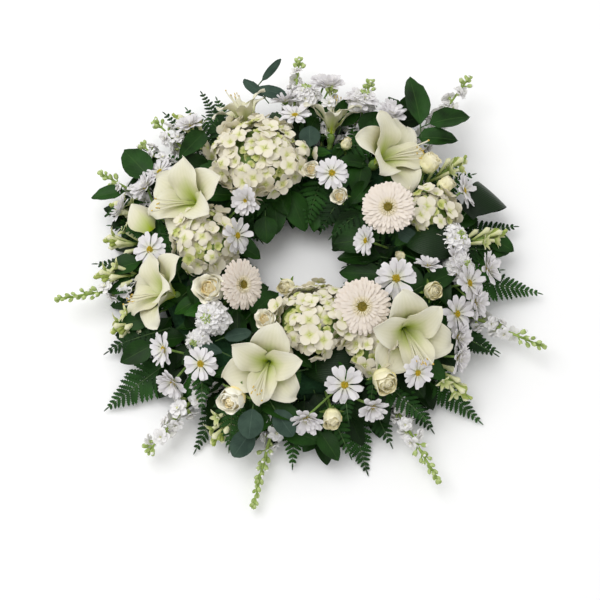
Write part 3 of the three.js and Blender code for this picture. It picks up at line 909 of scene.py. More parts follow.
@dataclass(frozen=True)
class AmaryllisHead:
    """An amaryllis: six broad pointed petals that flare from a green throat, and drooping stamens."""

    width: float = 124.0
    broad: float = 1.0
    stamens: int = 6

    def petal(self, broad: float, curl: float) -> Blade:
        """Gives a petal.

        Args:
            broad: its width, as a share of the flower's radius.
            curl: degrees that its tip rolls back.

        Returns:
            The petal's blade.
        """
        radius = self.width / 2
        return Blade(
            length=1.24 * radius, width=broad * self.broad * radius, cells=(10, 15), foot=0.22, tip=0.02,
            widest=0.56, blunt=0.8, bend=-70, late=1.35, lip=curl, cup=90, cup_fade=0.85, fold=6,
            ruffle=3.8, waves=2.1, thickness=0.8,
        )

    def dress(self, bench: Bench, place: Matrix, shut: float, rng: random.Random) -> None:
        """Adds the two whorls of petals, the stamens, the pistil and the green tube.

        Args:
            bench: where the parts are gathered.
            place: the flower's place and scale.
            shut: how far the petals are closed, from 0 to 1.
            rng: the flower's own chance.
        """
        radius = self.width / 2
        base = -0.62 * radius
        outer = [self.petal(0.96, curl).cut(Skin.AMARYLLIS_PETAL) for curl in (-40, -15, -60)]
        inner = [self.petal(0.76, curl).cut(Skin.AMARYLLIS_PETAL) for curl in (-15, -45, -30)]
        wheel(bench, outer, 3, place, rng, 4.5, 61 + 20 * shut, base, 0, 3)
        wheel(bench, inner, 3, place, rng, 2.5, 70 + 18 * shut, base + 2, 60, 3)
        self.stamens_of(bench, place @ shifted(0, 0, base + 4), rng)
        tube = spun(((0, -62), (4.5, -61), (6.0, -54), (8.0, -46), (6.5, -41), (0, -37)), 9)
        bench.stamp(Shape(tube, (Skin.STEM,)), place)

    def stamens_of(self, bench: Bench, place: Matrix, rng: random.Random) -> None:
        """Adds stamens and a pistil that droop down the slope and turn up at their ends.

        Args:
            bench: where the parts are gathered.
            place: the throat's place.
            rng: the flower's own chance.
        """
        for i in range(self.stamens + 1):
            long = (1.3 if i == self.stamens else rng.uniform(0.98, 1.14)) * self.width / 2
            line = Blade(
                long, 1.7, (1, 9), foot=0.7, tip=0.7, blunt=0.0, bend=-34, late=0.8, lip=30, thickness=1.5
            )
            spread = (i - self.stamens / 2) * 5.5 + rng.uniform(-3, 3)
            stand = turned(180 + spread, "Z") @ turned(76 + rng.uniform(-4, 4), "X")
            bench.stamp(line.cut(Skin.AMARYLLIS_PETAL), place @ stand)
            y, z, _ = arc(long, -34, 0.8, 30, 1.0)
            end = place @ stand @ shifted(0, y, z)
            anther = Matrix.Diagonal((1.1, 3.4, 1.1, 1.0)) if i < self.stamens else Matrix.Scale(1.5, 4)
            bench.stamp(Shape(bead(), (Skin.ANTHER,)), end @ turned(rng.uniform(0, 180), "X") @ anther)


@dataclass(frozen=True)
class HydrangeaHead:
    """A hydrangea mophead: four-petalled florets packed over a dome."""

    width: float = 100.0
    top: float = 0.62
    bottom: float = 0.4
    pitch: float = 16.0
    floret: float = 31.0
    lumps: float = 0.18
    stray: float = 0.45

    def florets(self, skin: Skin, rng: random.Random) -> list[Shape]:
        """Makes a few florets that differ in their waves.

        Args:
            skin: the petals' skin.
            rng: the head's own chance.

        Returns:
            The florets, each drawn round +Z.
        """
        made = []
        for i in range(4):
            petal = Blade(
                0.5 * self.floret, 0.54 * self.floret, (2, 4), foot=0.16, tip=0.4, widest=0.6,
                blunt=0.55, bend=(-25, 8, -40, 16)[i], cup=(20, 36, -20, 28)[i], ruffle=0.9, waves=0.9,
                thickness=0.4,
            )
            bench = Bench()
            wheel(bench, [petal.cut(skin)], 4, Matrix(), rng, 0.6, (4, 12, 0, 18)[i], 0, 0, 6)
            bench.stamp(Shape(bead(), (Skin.FLORET_EYE,)), Matrix.Scale(1.3, 4) @ shifted(0, 0, 0.6))
            made.append(bench.shape())
        return made

    def dress(self, bench: Bench, place: Matrix, shut: float, rng: random.Random) -> None:
        """Packs the florets over the dome, with young green ones low between them.

        Args:
            bench: where the florets are gathered.
            place: the flower's place; its scale sets the dome, and the florets keep their size.
            shut: share of the florets that are still green.
            rng: the head's own chance.
        """
        scale = place.to_scale().x
        radius = self.width / 2 * scale
        plain = place @ Matrix.Scale(1 / scale, 4)
        ripe = self.florets(Skin.HYDRANGEA_CREAM, rng)
        young = self.florets(Skin.HYDRANGEA_LIME, rng)
        floor = math.cos(math.radians(112))
        area = 2 * math.pi * radius**2 * (1 - floor) * 0.8
        count = round(area / self.pitch**2)
        for i in range(count):
            height = 1 - (i + 0.5) / count * (1 - floor)
            out = math.sqrt(max(0.0, 1 - height**2))
            turn = math.radians(GOLDEN_ANGLE * i)
            squash = self.top if height > 0 else self.bottom
            spot = Vector((out * math.cos(turn), out * math.sin(turn), squash * height))
            facing = Vector((spot.x, spot.y, spot.z / squash**2 + 0.05))
            facing += Vector([rng.uniform(-self.stray, self.stray) for _ in range(3)])
            is_young = rng.random() < 0.26 + shut
            lump = self.lumps * math.sin(7 * spot.x + 2) * math.sin(7 * spot.y + radius)
            sunk = lump + (rng.uniform(0.84, 0.92) if is_young else rng.uniform(0.9, 1.05))
            size = rng.uniform(0.45, 0.7) if is_young else rng.uniform(0.8, 1.12)
            shape = rng.choice(young if is_young else ripe)
            stand = standing(spot * radius * sunk, facing) @ turned(rng.uniform(0, 90), "Z")
            bench.stamp(shape, plain @ stand @ Matrix.Scale(size, 4))
        core = Shape(bead(1.0, 2), (Skin.CALYX,))
        bench.stamp(core, plain @ Matrix.Diagonal((0.84 * radius, 0.84 * radius, 0.45 * radius, 1.0)))


# ---------------------------------------------------------------- spikes, fronds and twigs
# Each is drawn along +Z from the foam (0) to its tip (length), with X level.


@lru_cache(maxsize=None)
def stock_floret(ruffled: int) -> Shape:
    """Makes a double stock floret round +Z.

    Args:
        ruffled: which of the variants to make.

    Returns:
        The floret.
    """
    rng = random.Random(f"stock floret {ruffled}")
    petal = Blade(
        16, 14.5, (3, 3), foot=0.25, tip=0.45, widest=0.64, blunt=0.45, bend=-26, cup=20, ruffle=1.6,
        waves=1,
    )
    shapes = [petal.cut(Skin.STOCK_PETAL), replace(petal, bend=5, cup=40).cut(Skin.STOCK_PETAL)]
    bench = Bench()
    wheel(bench, shapes, 5, Matrix(), rng, 1.0, 2, 0, 0, 9)
    wheel(bench, shapes, 5, Matrix(), rng, 0.8, 22, 0.8, 36, 12, 0.8)
    wheel(bench, shapes, 4, Matrix(), rng, 0.5, 46, 1.4, 10, 14, 0.55)
    calyx = spun(((0, -9), (1.4, -9), (3.0, -5), (2.8, -1), (0, 1.0)), 6)
    bench.stamp(Shape(calyx, (Skin.STOCK_BUD,)), Matrix())
    bench.stamp(Shape(bead(), (Skin.FLORET_EYE,)), shifted(0, 0, 2.6) @ Matrix.Scale(1.8, 4))
    return bench.shape()


@dataclass(frozen=True)
class StockHead:
    """A short stock seen end on: two rings of double florets round a few green buds."""

    width: float = 66.0

    def dress(self, bench: Bench, place: Matrix, shut: float, rng: random.Random) -> None:
        """Adds the florets and the buds.

        Args:
            bench: where the parts are gathered.
            place: the flower's place and scale.
            shut: how much smaller the upper florets are, from 0 to 1.
            rng: the flower's own chance.
        """
        shapes = [stock_floret(i) for i in range(3)]
        wheel(bench, shapes, 6, place, rng, 19.0, -46, -13, 0, 12, 1.4)
        wheel(bench, shapes, 5, place, rng, 12.5, -24, -2, 30, 12, 1.15 - 0.4 * shut)
        bud = Shape(bead(1.5), (Skin.STOCK_BUD,))
        for i in range(14):
            out = math.sqrt(i)
            spot = turned(GOLDEN_ANGLE * i, "Z") @ shifted(2.5 * out, 0, 7.0) @ turned(12 * out, "Y")
            bench.stamp(bud, place @ spot @ Matrix.Scale(rng.uniform(1.9, 2.9), 4))


@dataclass(frozen=True)
class StockSpike:
    """A stock: ruffled double florets low on the spike and round green buds up to its tip."""

    first: float = 0.22
    pitch: float = 11.5
    bud_pitch: float = 6.0

    def dress(self, bench: Bench, place: Matrix, length: float, size: float, rng: random.Random) -> None:
        """Adds the stem, the florets, and the buds on their stalks.

        Args:
            bench: where the parts are gathered.
            place: the spike's place.
            length: its dressed length.
            size: the share of the spike that is in open flower.
            rng: its own chance.
        """
        sway = rng.uniform(-5, 5)

        def spot(share: float) -> Matrix:
            """Gives the place at a share of the stem's length."""
            return shifted(sway * math.sin(math.pi * share), 0, share * (length - 4))

        shares = [0.0, 0.25, 0.5, 0.75, 1.0]
        path = [(place @ spot(share)).translation for share in shares]
        bench.rod(path, [3.4, 3.2, 2.7, 2.0, 1.3], Skin.STOCK_STEM)
        florets = round((size - self.first) * length / self.pitch) + 1
        for i in range(florets):
            part = i / florets
            share = self.first + (size - self.first) * part
            stand = spot(share) @ turned(GOLDEN_ANGLE * i, "Z")
            stand = stand @ turned(rng.uniform(38, 78), "Y")
            stand = stand @ shifted(0, 0, rng.uniform(12, 18) - 4 * part)
            scale = Matrix.Scale(rng.uniform(0.86, 1.16) * (1 - 0.3 * part**2), 4)
            bench.stamp(stock_floret(i % 3), place @ stand @ turned(rng.uniform(0, 72), "Z") @ scale)
        bud = Shape(bead(1.5, 2), (Skin.STOCK_BUD,))
        white_bud = bud.wearing(Skin.STOCK_PETAL)
        buds = round((0.98 - size) * length / self.bud_pitch) + 4
        for i in range(buds):
            part = i / buds
            foot = spot(size + (0.98 - size) * part) @ turned(GOLDEN_ANGLE * i + 40, "Z")
            reach = 9 - 5 * part
            stand = place @ foot @ turned(rng.uniform(36, 56) - 18 * part, "Y")
            bench.rod([stand.translation, stand @ Vector((0, 0, reach))], [1.2, 1.1], Skin.STOCK_STEM, 5)
            wide = (3.9 - 1.2 * part) * rng.uniform(0.85, 1.1)
            bench.stamp(bud, stand @ shifted(0, 0, reach + 1.1 * wide) @ Matrix.Scale(wide, 4))
            if part < 0.5:
                peep = shifted(0, 0, reach + 1.7 * wide) @ Matrix.Scale(0.75 * wide, 4)
                bench.stamp(white_bud, stand @ peep)
        for i in range(8):
            stand = spot(0.98) @ turned(51 * i, "Z") @ turned(30 - 3 * i, "Y") @ shifted(0, 0, 3.0)
            bench.stamp(bud, place @ stand @ Matrix.Scale(rng.uniform(2.2, 2.9), 4))


@lru_cache(maxsize=None)
def tuberose_tube(long: float, is_open: bool) -> Shape:
    """Makes a tuberose flower or bud along +Z.

    Args:
        long: its length.
        is_open: whether its six petals are spread.

    Returns:
        The shape.
    """
    bench = Bench()
    head = 3.4 if is_open else 5.2
    profile = ((0, 0), (2.4, 0.5), (2.2, 0.3 * long), (3.2, 0.62 * long), (head, 0.86 * long), (0, long))
    bench.stamp(Shape(spun(profile, 7), (Skin.TUBEROSE_WAX,)), Matrix())
    if is_open:
        petal = Blade(17, 8, (2, 4), foot=0.6, tip=0.12, widest=0.4, bend=-50, cup=40, thickness=0.8)
        rng = random.Random("tuberose")
        wheel(bench, [petal.cut(Skin.TUBEROSE_WAX)], 6, shifted(0, 0, 0.84 * long), rng, 1.2, 62, 0, 0, 8)
    return bench.shape()


@dataclass(frozen=True)
class TuberoseSpike:
    """A tuberose: slim waxy tubes that stand off the spike and point to its tip."""

    tubes: int = 8

    def dress(self, bench: Bench, place: Matrix, length: float, size: float, rng: random.Random) -> None:
        """Adds the stem, the tubes, and the tight green buds at the tip.

        Args:
            bench: where the parts are gathered.
            place: the spike's place.
            length: its dressed length.
            size: not used by a tuberose.
            rng: its own chance.
        """
        ends = [place @ Vector((0, 0, share * length)) for share in (0.0, 0.6, 0.94)]
        bench.rod(ends, [2.6, 2.2, 1.2], Skin.STEM)
        for i in range(self.tubes):
            share = i / (self.tubes - 1)
            stand = shifted(0, 0, length * (0.36 + 0.36 * share)) @ turned(GOLDEN_ANGLE * i, "Z")
            stand = stand @ turned(rng.uniform(20, 32) - 8 * share, "Y")
            long = round(46 - 14 * share)
            bench.stamp(tuberose_tube(long, i % 3 == 1 and share < 0.8), place @ stand)
        bud = tuberose_tube(24, False).wearing(Skin.TUBEROSE_BUD)
        for i in range(7):
            stand = shifted(0, 0, length * (0.7 + 0.025 * i)) @ turned(60 * i, "Z")
            bench.stamp(bud, place @ stand @ turned(20 - 2 * i, "Y") @ Matrix.Scale(1 - 0.06 * i, 4))


@dataclass(frozen=True)
class FernFrond:
    """A leatherleaf frond: toothed fingers in pairs down an arching rachis, shorter to its tip."""

    pitch: float = 8.6
    bare: float = 0.26
    droop: tuple[float, float] = (-14, -4)
    lift: float = 0.0
    finger: Blade = Blade(
        46, 12.5, (2, 14), foot=0.6, tip=0.04, widest=0.34, blunt=0.5, bend=-20, fold=8, lobes=7,
        lobing=0.42,
    )

    def dress(self, bench: Bench, place: Matrix, length: float, size: float, rng: random.Random) -> None:
        """Adds the rachis and its fingers.

        Args:
            bench: where the parts are gathered.
            place: the frond's place.
            length: its length.
            size: its width at its broadest.
            rng: its own chance.
        """
        flat = place @ LAID @ turned(self.lift, "X")
        droop = rng.uniform(*self.droop)
        skin = rng.choice((Skin.FERN, Skin.FERN, Skin.FERN_DEEP))
        pairs = max(6, round((0.97 - self.bare) * length / self.pitch))

        def spot(share: float) -> Matrix:
            """Gives the place at a share of the frond's length."""
            y, z, angle = arc(length, droop, 1.0, 0.0, share)
            return flat @ shifted(0, y, z) @ turned(math.degrees(angle), "X")

        shares = [0.0, 0.33, 0.66, 0.97]
        bench.rod([spot(s).translation for s in shares], [1.7, 1.4, 1.0, 0.5], Skin.DARK_STEM, 5)
        shape = self.finger.cut(skin)
        for i in range(pairs):
            share = self.bare + (0.97 - self.bare) * (i / pairs) ** 0.92
            reach = size / 2 * (1 - i / pairs) ** 0.8 * (0.85 if i == 0 else 1.0)
            for side in (-1, 1):
                finger = turned(-side * (66 - 18 * i / pairs + rng.uniform(-5, 5)), "Z")
                finger = finger @ turned(rng.uniform(-4, 8), "X") @ turned(rng.uniform(-8, 8), "Y")
                long = max(0.16, reach / self.finger.length)
                scale = Matrix.Diagonal((0.4 + 0.6 * long, long, long, 1))
                bench.stamp(shape, spot(share) @ finger @ scale)
        bench.stamp(shape, spot(0.95) @ Matrix.Scale(0.25, 4))


@dataclass(frozen=True)
class SalalTwig:
    """A leafy twig: broad pointed leaves in turn along it, and one at its tip."""

    leaf: Blade = Blade(
        60, 37, (4, 8), foot=0.06, tip=0.03, widest=0.4, blunt=0.72, bend=-22, cup=35, fold=8, ruffle=1.2
    )
    blades: tuple[tuple[float, float, float], ...] = (
        (0.36, 62, 1.0), (0.46, -62, 1.0), (0.66, 48, 0.85), (0.7, -50, 0.85), (0.74, 0, 0.9)
    )

    def dress(self, bench: Bench, place: Matrix, length: float, size: float, rng: random.Random) -> None:
        """Adds the twig and its leaves.

        Args:
            bench: where the parts are gathered.
            place: the twig's place.
            length: its length.
            size: the length of its largest leaf.
            rng: its own chance.
        """
        ends = [place.translation, place @ Vector((0, 0, 0.78 * length))]
        bench.rod(ends, [1.8, 1.0], Skin.DARK_STEM, 6)
        flat = place @ LAID
        for share, turn, part in self.blades:
            stand = shifted(0, share * length, 0) @ turned(-turn, "Z")
            stand = stand @ turned(rng.uniform(2, 14), "X") @ turned(rng.uniform(-14, 14), "Y")
            skin = rng.choice((Skin.SALAL, Skin.SALAL_DEEP))
            scale = Matrix.Scale(part * size / self.leaf.length, 4)
            bench.stamp(self.leaf.cut(skin), flat @ stand @ scale)


# ---------------------------------------------------------------- the planting plan


class Kind(Enum):
    """The kinds of flower: slot, stem radius, how far the neck lies behind the face, and head."""

    GERBERA = ("gerbera_petals", 3.0, 8.0, GerberaHead())
    ROSE = ("rose_petals", 2.5, 0.42, RoseHead())
    DAISY = ("daisy_petals", 1.8, 5.0, DaisyHead())
    AMARYLLIS = ("amaryllis_petals", 5.0, 0.47, AmaryllisHead())
    SLIM_AMARYLLIS = ("amaryllis_petals", 5.0, 0.47, AmaryllisHead(broad=0.56))
    HYDRANGEA = ("hydrangea_florets", 4.0, 0.12, HydrangeaHead())
    STOCK_HEAD = ("stock_florets", 3.0, 4.0, StockHead())


class Greenery(Enum):
    """The kinds of stem that lie outward: slot, and what dresses them."""

    STOCK = ("stock_florets", StockSpike())
    TUBEROSE = ("tuberose_buds", TuberoseSpike())
    FERN = ("fern_green", FernFrond())
    ARCHING_FERN = ("fern_green", FernFrond(bare=0.3, droop=(-84, -60), lift=36))
    SALAL = ("leaf_green", SalalTwig())


@dataclass(frozen=True)
class Bloom:
    """One bloom: its place, its width, how far it leans and to where, and how far it is shut."""

    clock: float
    distance: float
    height: float
    width: float
    tilt: float
    heading: float
    shut: float = 0.0
    spin: float = 0.0

    def centre(self) -> Vector:
        """Gives the middle of the bloom's face."""
        return at(self.clock, self.distance, self.height)

    def face(self) -> Vector:
        """Gives the direction that the bloom faces."""
        return leaning(self.tilt, self.heading)


@dataclass(frozen=True)
class Flower:
    """A stem that stands in the foam and carries one bloom, or forks to carry a few."""

    kind: Kind
    foot: tuple[float, float]
    blooms: tuple[Bloom, ...]
    foot_height: float = 40.0

    def dress(self, bench: Bench, rng: random.Random) -> None:
        """Adds the stem and dresses each bloom.

        Args:
            bench: where the parts are gathered.
            rng: the flower's own chance.
        """
        _, thick, depth, head = self.kind.value
        fork = at(*self.foot, self.foot_height)
        necks = []
        for bloom in self.blooms:
            behind = depth if depth > 1 else depth * bloom.width
            necks.append(bloom.centre() - bloom.face() * behind)
        if len(necks) > 1:
            start, fork = fork, fork.lerp(sum(necks, Vector()) / len(necks), 0.5)
            bench.rod([start, fork], [thick, thick], Skin.STEM)
        for bloom, neck in zip(self.blooms, necks):
            bench.rod([fork, neck], [thick, thick], Skin.STEM)
            place = standing(bloom.centre(), bloom.face()) @ turned(bloom.spin, "Z")
            head.dress(bench, place @ Matrix.Scale(bloom.width / head.width, 4), bloom.shut, rng)

    def check(self, node: str) -> None:
        """Warns of a bloom that lies outside the solid that it stands for.

        Args:
            node: the solid's node.
        """
        low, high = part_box(node)
        for bloom in self.blooms:
            if any(not low[i] <= bloom.centre()[i] * MM <= high[i] for i in range(3)):
                log.warning("%s has a bloom outside its solid", node)


@dataclass(frozen=True)
class LowStem:
    """A spike, frond or twig pushed into the foam's side."""

    kind: Greenery
    foot: float
    tip: tuple[float, float, float]
    size: float = 0.0
    foot_distance: float = 208.0
    foot_height: float = 36.0

    def dress(self, bench: Bench, rng: random.Random) -> None:
        """Adds the stem and what it carries.

        Args:
            bench: where the parts are gathered.
            rng: the stem's own chance.
        """
        start = at(self.foot, self.foot_distance, self.foot_height)
        span = at(*self.tip) - start
        self.kind.value[1].dress(bench, standing(start, span), span.length, self.size, rng)


def strewn(kind: Kind | Greenery, *rows: tuple) -> tuple[Flower | LowStem, ...]:
    """Makes stems of one kind.

    Args:
        kind: their kind.
        rows: a flower's foot and blooms, or a low stem's foot, tip and sizes.

    Returns:
        The stems.
    """
    if isinstance(kind, Greenery):
        return tuple(LowStem(kind, *row) for row in rows)
    return tuple(Flower(kind, foot, tuple(Bloom(*row) for row in blooms)) for foot, *blooms in rows)


def planted(kind: Kind | Greenery, **rows: tuple) -> dict[str, Flower | LowStem]:
    """Gives stems of one kind by the names of the CAD nodes that they stand for."""
    return dict(zip(rows, strewn(kind, *rows.values())))


def build_stems(name: str, stems: tuple[Flower | LowStem, ...], *nodes: str) -> None:
    """Makes one piece of a few stems, which share the chance of their node or their name.

    Args:
        name: the piece's name.
        stems: the stems.
        nodes: the CAD node that they stand for, if there is one.
    """
    rng = random.Random(nodes[0] if nodes else name)
    bench = Bench()
    for stem in stems:
        stem.dress(bench, rng)
    bench.deliver(name, stems[0].kind.value[0], *nodes)


PLANTED = {
    **planted(
        Kind.GERBERA,
        gerbera_1=((21, 180), (21, 149, 138, 86, 20, 250)),
        gerbera_2=((315, 166), (308, 153, 140, 88, 25, 270)),
        gerbera_3=((214, 166), (221, 116, 125, 80, 45, 335)),
    ),
    **planted(
        Kind.ROSE,
        rose_1=((206, 190), (210, 161, 120, 60, 20, 220)),
        rose_2=((244, 168), (248, 141, 116, 40, 25, 200)),
        rose_spray_1=((66, 172), (82, 132, 125, 34, 30, 250), (53, 106, 118, 34, 35, 250)),
        rose_spray_2=((32, 208), (37, 270, 100, 52, 45, 40, 0.45), (28, 276, 84, 44, 55, 30, 0.5)),
        rose_3=((340, 205), (339, 223, 110, 46, 30, 300, 0.4)),
        rose_4=((248, 205), (248, 275, 95, 60, 52, 242, 0.3)),
        rose_5=((299, 198), (300, 260, 95, 58, 52, 295, 0.4)),
        rose_6=((280, 214), (280, 283, 72, 46, 65, 272, 0.4)),
    ),
    **planted(
        Kind.DAISY,
        daisy_1=((70, 196), (67, 131, 130, 56, 20, 260)),
        daisy_2=((180, 204), (180, 239, 95, 58, 30, 220)),
        daisy_3=((346, 168), (335, 163, 132, 66, 25, 280)),
        daisy_4=((8, 166), (6, 105, 105, 52, 55, 190, 0.3)),
        daisy_5=((20, 212), (23, 293, 84, 62, 62, 0, 0.3)),
        daisy_spray_1=((155, 168), (140, 113, 125, 52, 45, 235, 0.4), (170, 101, 110, 60, 55, 340, 0.2)),
        daisy_spray_2=(
            (226, 204), (233, 250, 105, 54, 30, 250), (219, 270, 90, 58, 60, 200, 0.3),
            (228, 292, 72, 56, 65, 240, 0.5),
        ),
        daisy_spray_3=(
            (283, 206), (286, 243, 105, 62, 45, 280), (272, 279, 80, 56, 65, 265, 0.6),
            (293, 282, 78, 50, 60, 280, 0.6),
        ),
        daisy_spray_4=((318, 210), (310, 277, 100, 52, 45, 310, 0.1), (324, 302, 75, 52, 70, 330, 0.5)),
        daisy_spray_5=(
            (348, 208), (348, 273, 90, 64, 45, 350, 0.3), (336, 268, 88, 64, 45, 330, 0.3),
            (350, 204, 108, 46, 40, 80, 0.4),
        ),
        daisy_spray_6=((65, 210), (70, 305, 90, 62, 28, 75, 0.3), (60, 313, 82, 54, 30, 50, 0.4)),
        daisy_spray_7=((138, 212), (147, 277, 85, 52, 35, 140, 0.3), (127, 310, 75, 54, 32, 120, 0.4)),
        daisy_spray_8=((89, 210), (92, 245, 110, 56, 25, 100, 0.2), (83, 335, 75, 54, 30, 85, 0.3)),
    ),
    **planted(
        Kind.SLIM_AMARYLLIS,
        amaryllis_1=((108, 208), (110, 288, 95, 118, 55, 115, 0.3)),
        amaryllis_2=((77, 200), (78, 268, 95, 118, 52, 84, 0.2)),
    ),
    **planted(
        Kind.AMARYLLIS,
        amaryllis_3=((52, 186), (48, 227, 120, 142, 33, 0)),
        amaryllis_4=((325, 182), (317, 232, 118, 138, 42, 290)),
        amaryllis_5=((258, 178), (256, 219, 120, 126, 38, 255)),
        amaryllis_6=((194, 178), (197, 240, 100, 128, 48, 182, 0.0, 30)),
        amaryllis_7=((150, 184), (157, 202, 125, 135, 30, 200)),
    ),
    **planted(
        Kind.HYDRANGEA,
        hydrangea_1=((112, 182), (112, 187, 92, 150, 10, 110)),
        hydrangea_2=((172, 176), (173, 152, 90, 102, 15, 340)),
        hydrangea_3=((280, 168), (281, 124, 90, 130, 20, 90)),
        hydrangea_4=((13, 200), (18, 224, 88, 85, 30, 350)),
        hydrangea_5=((303, 196), (303, 203, 86, 76, 20, 270)),
    ),
    **planted(
        Greenery.STOCK,
        stock_1=(190, (190, 400, 55), 0.6),
        stock_2=(156, (154, 378, 60), 0.76),
        stock_3=(131, (133, 368, 60), 0.88),
        stock_4=(94, (90, 400, 62), 0.86),
        stock_5=(72, (70, 364, 75), 0.85),
        stock_6=(46, (50, 462, 70), 0.9),
        stock_7=(344, (339, 418, 45), 0.76),
        stock_8=(304, (300, 424, 35), 0.68),
        stock_9=(265, (260, 408, 18), 0.52),
        stock_10=(236, (234, 396, 40), 0.93),
    ),
    **planted(
        Greenery.TUBEROSE,
        tuberose_1=(171, (174, 326, 65)),
        tuberose_2=(184, (186, 338, 70)),
        tuberose_3=(6, (9, 352, 60)),
        tuberose_4=(322, (318, 364, 50)),
        tuberose_5=(252, (246, 340, 35)),
    ),
    **planted(
        Greenery.FERN,
        fern_1=(118, (114, 362, 45), 95),
        fern_2=(219, (218, 391, 16), 110),
        fern_3=(356, (354, 400, 30), 90),
    ),
    **planted(
        Greenery.SALAL,
        salal_twig_1=(56, (58, 372, 60), 60),
        salal_twig_2=(145, (148, 330, 55), 56),
    ),
}

FILLS = {
    "tuberose_fill": strewn(
        Greenery.TUBEROSE,
        (36, (34, 346, 70)), (124, (128, 364, 65)), (199, (203, 328, 55)), (163, (162, 336, 65)),
    ),
    "stock_fill": strewn(
        Greenery.STOCK,
        (80, (80, 318, 92), 0.9), (141, (141, 345, 62), 0.95),
    ),
    "fern_fill": strewn(
        Greenery.FERN,
        (203, (205, 345, 22), 90), (14, (12.5, 375, 35), 80), (316, (317.6, 390, 20), 85),
        (306, (307, 348, 25), 85), (287, (287, 362, 15), 85), (248, (249, 319, 20), 70),
        (109, (109, 348, 50), 75), (295, (295, 335, 30), 80), (268, (268, 335, 20), 70),
        (242, (242, 352, 22), 70), (123, (123, 366, 50), 75), (335, (335, 350, 35), 80),
        (126, (129, 376, 56), 62), (117, (117, 384, 58), 62), (35, (30, 340, 60), 80),
        (166, (166, 330, 40), 75),
    ),
    "fern_inner": strewn(
        Greenery.ARCHING_FERN,
        (38, (40, 58, 50), 74, 178, 60), (57, (60, 56, 52), 78, 180, 62),
        (76, (80, 58, 50), 72, 172, 60), (97, (100, 62, 50), 72, 170, 60),
        (120, (122, 66, 50), 72, 172, 60), (146, (148, 66, 50), 66, 170, 58),
        (20, (20, 66, 46), 66, 176, 58), (356, (354, 64, 44), 64, 172, 56),
        (336, (334, 74, 48), 58, 166, 56), (186, (190, 70, 50), 58, 168, 58),
    ),
    "salal_fill": strewn(
        Greenery.SALAL,
        (275, (277, 318, 26), 52), (160, (162, 330, 40), 52), (4, (4, 330, 45), 52),
    ),
    "rose_buds_fill": strewn(
        Kind.ROSE,
        ((67, 196), (68.6, 214, 100, 32, 25, 60, 0.8)),
        ((350, 168), (354, 157, 108, 27, 25, 190, 0.9)),
        ((255, 158), (250, 66, 86, 42, 40, 240, 0.5)),
    ),
    "daisy_fill": strewn(
        Kind.DAISY,
        ((350, 212), (355, 300, 80, 60, 55, 0, 0.5), (343, 290, 78, 58, 60, 345, 0.5)),
        ((333, 212), (330, 285, 72, 56, 62, 330, 0.5), (356, 250, 92, 52, 40, 20, 0.4)),
        ((84, 212), (81, 322, 88, 58, 30, 85, 0.6), (95, 288, 88, 52, 40, 110, 0.6)),
        ((60, 212), (59, 296, 92, 56, 30, 60, 0.6)),
        ((163, 212), (154, 283, 80, 58, 45, 160, 0.4), (163, 306, 66, 52, 60, 165, 0.5)),
    ),
    "stock_heads_fill": strewn(
        Kind.STOCK_HEAD,
        ((222, 180), (222, 190, 112, 56, 34, 228)),
        ((224, 210), (225, 228, 94, 42, 35, 225, 0.4)),
        ((4, 212), (5, 256, 98, 56, 32, 10)),
        ((352, 212), (354, 263, 92, 54, 38, 350)),
        ((88, 212), (88, 308, 94, 52, 30, 80)),
        ((70, 212), (70, 318, 90, 54, 30, 60)),
    ),
}


class Leaf(Enum):
    """The kinds of single leaf: the blade and its skin."""

    SALAL = (SalalTwig.leaf, Skin.SALAL)
    EUCALYPTUS = (
        Blade(40, 38, (6, 8), foot=0.1, tip=0.12, widest=0.5, blunt=0.5, bend=-10, cup=-14, ruffle=0.6),
        Skin.EUCALYPTUS,
    )
    ASPIDISTRA = (
        Blade(
            95, 66, (8, 12), foot=0.45, tip=0.2, widest=0.45, blunt=0.5, bend=-75, cup=-24, thickness=0.6
        ),
        Skin.ASPIDISTRA,
    )
    ROLLED_ASPIDISTRA = (
        Blade(
            120, 66, (6, 18), foot=0.5, tip=0.3, blunt=0.5, bend=-200, late=2.0, cup=-10, thickness=0.6
        ),
        Skin.ASPIDISTRA,
    )
    CREAM_PETAL = (
        Blade(
            50, 44, (8, 10), foot=0.4, tip=0.04, widest=0.45, blunt=0.75, bend=-35, cup=-30, fold=-18,
            thickness=0.9,
        ),
        Skin.AMARYLLIS_PETAL,
    )


@dataclass(frozen=True)
class LooseLeaf:
    """A single leaf laid from its foot to its tip, each given as clock, distance and height."""

    kind: Leaf
    foot: tuple[float, float, float]
    tip: tuple[float, float, float]
    width: float
    roll: float = 0.0

    def dress(self, bench: Bench) -> None:
        """Adds the leaf and its stalk.

        Args:
            bench: where the parts are gathered.
        """
        blade, skin = self.kind.value
        start = at(*self.foot)
        span = at(*self.tip) - start
        y, z, _ = arc(blade.length, blade.bend, blade.late, blade.lip, 1.0)
        reach = math.hypot(y, z)
        tilt = turned(-math.degrees(math.atan2(z, y)), "X")
        long = span.length / reach
        scale = Matrix.Diagonal((self.width / blade.width, long, long, 1.0))
        place = standing(start, span) @ LAID @ turned(self.roll, "Y") @ tilt @ scale
        bench.stamp(blade.cut(skin), place)
        bench.rod([start, place @ Vector((0, -14, -3))], [1.2, 1.0], Skin.DARK_STEM, 5)


def laid(kind: Leaf, *rows: tuple) -> tuple[LooseLeaf, ...]:
    """Gives loose leaves of one kind, from a row of foot, tip, width and roll for each."""
    return tuple(LooseLeaf(kind, *row) for row in rows)


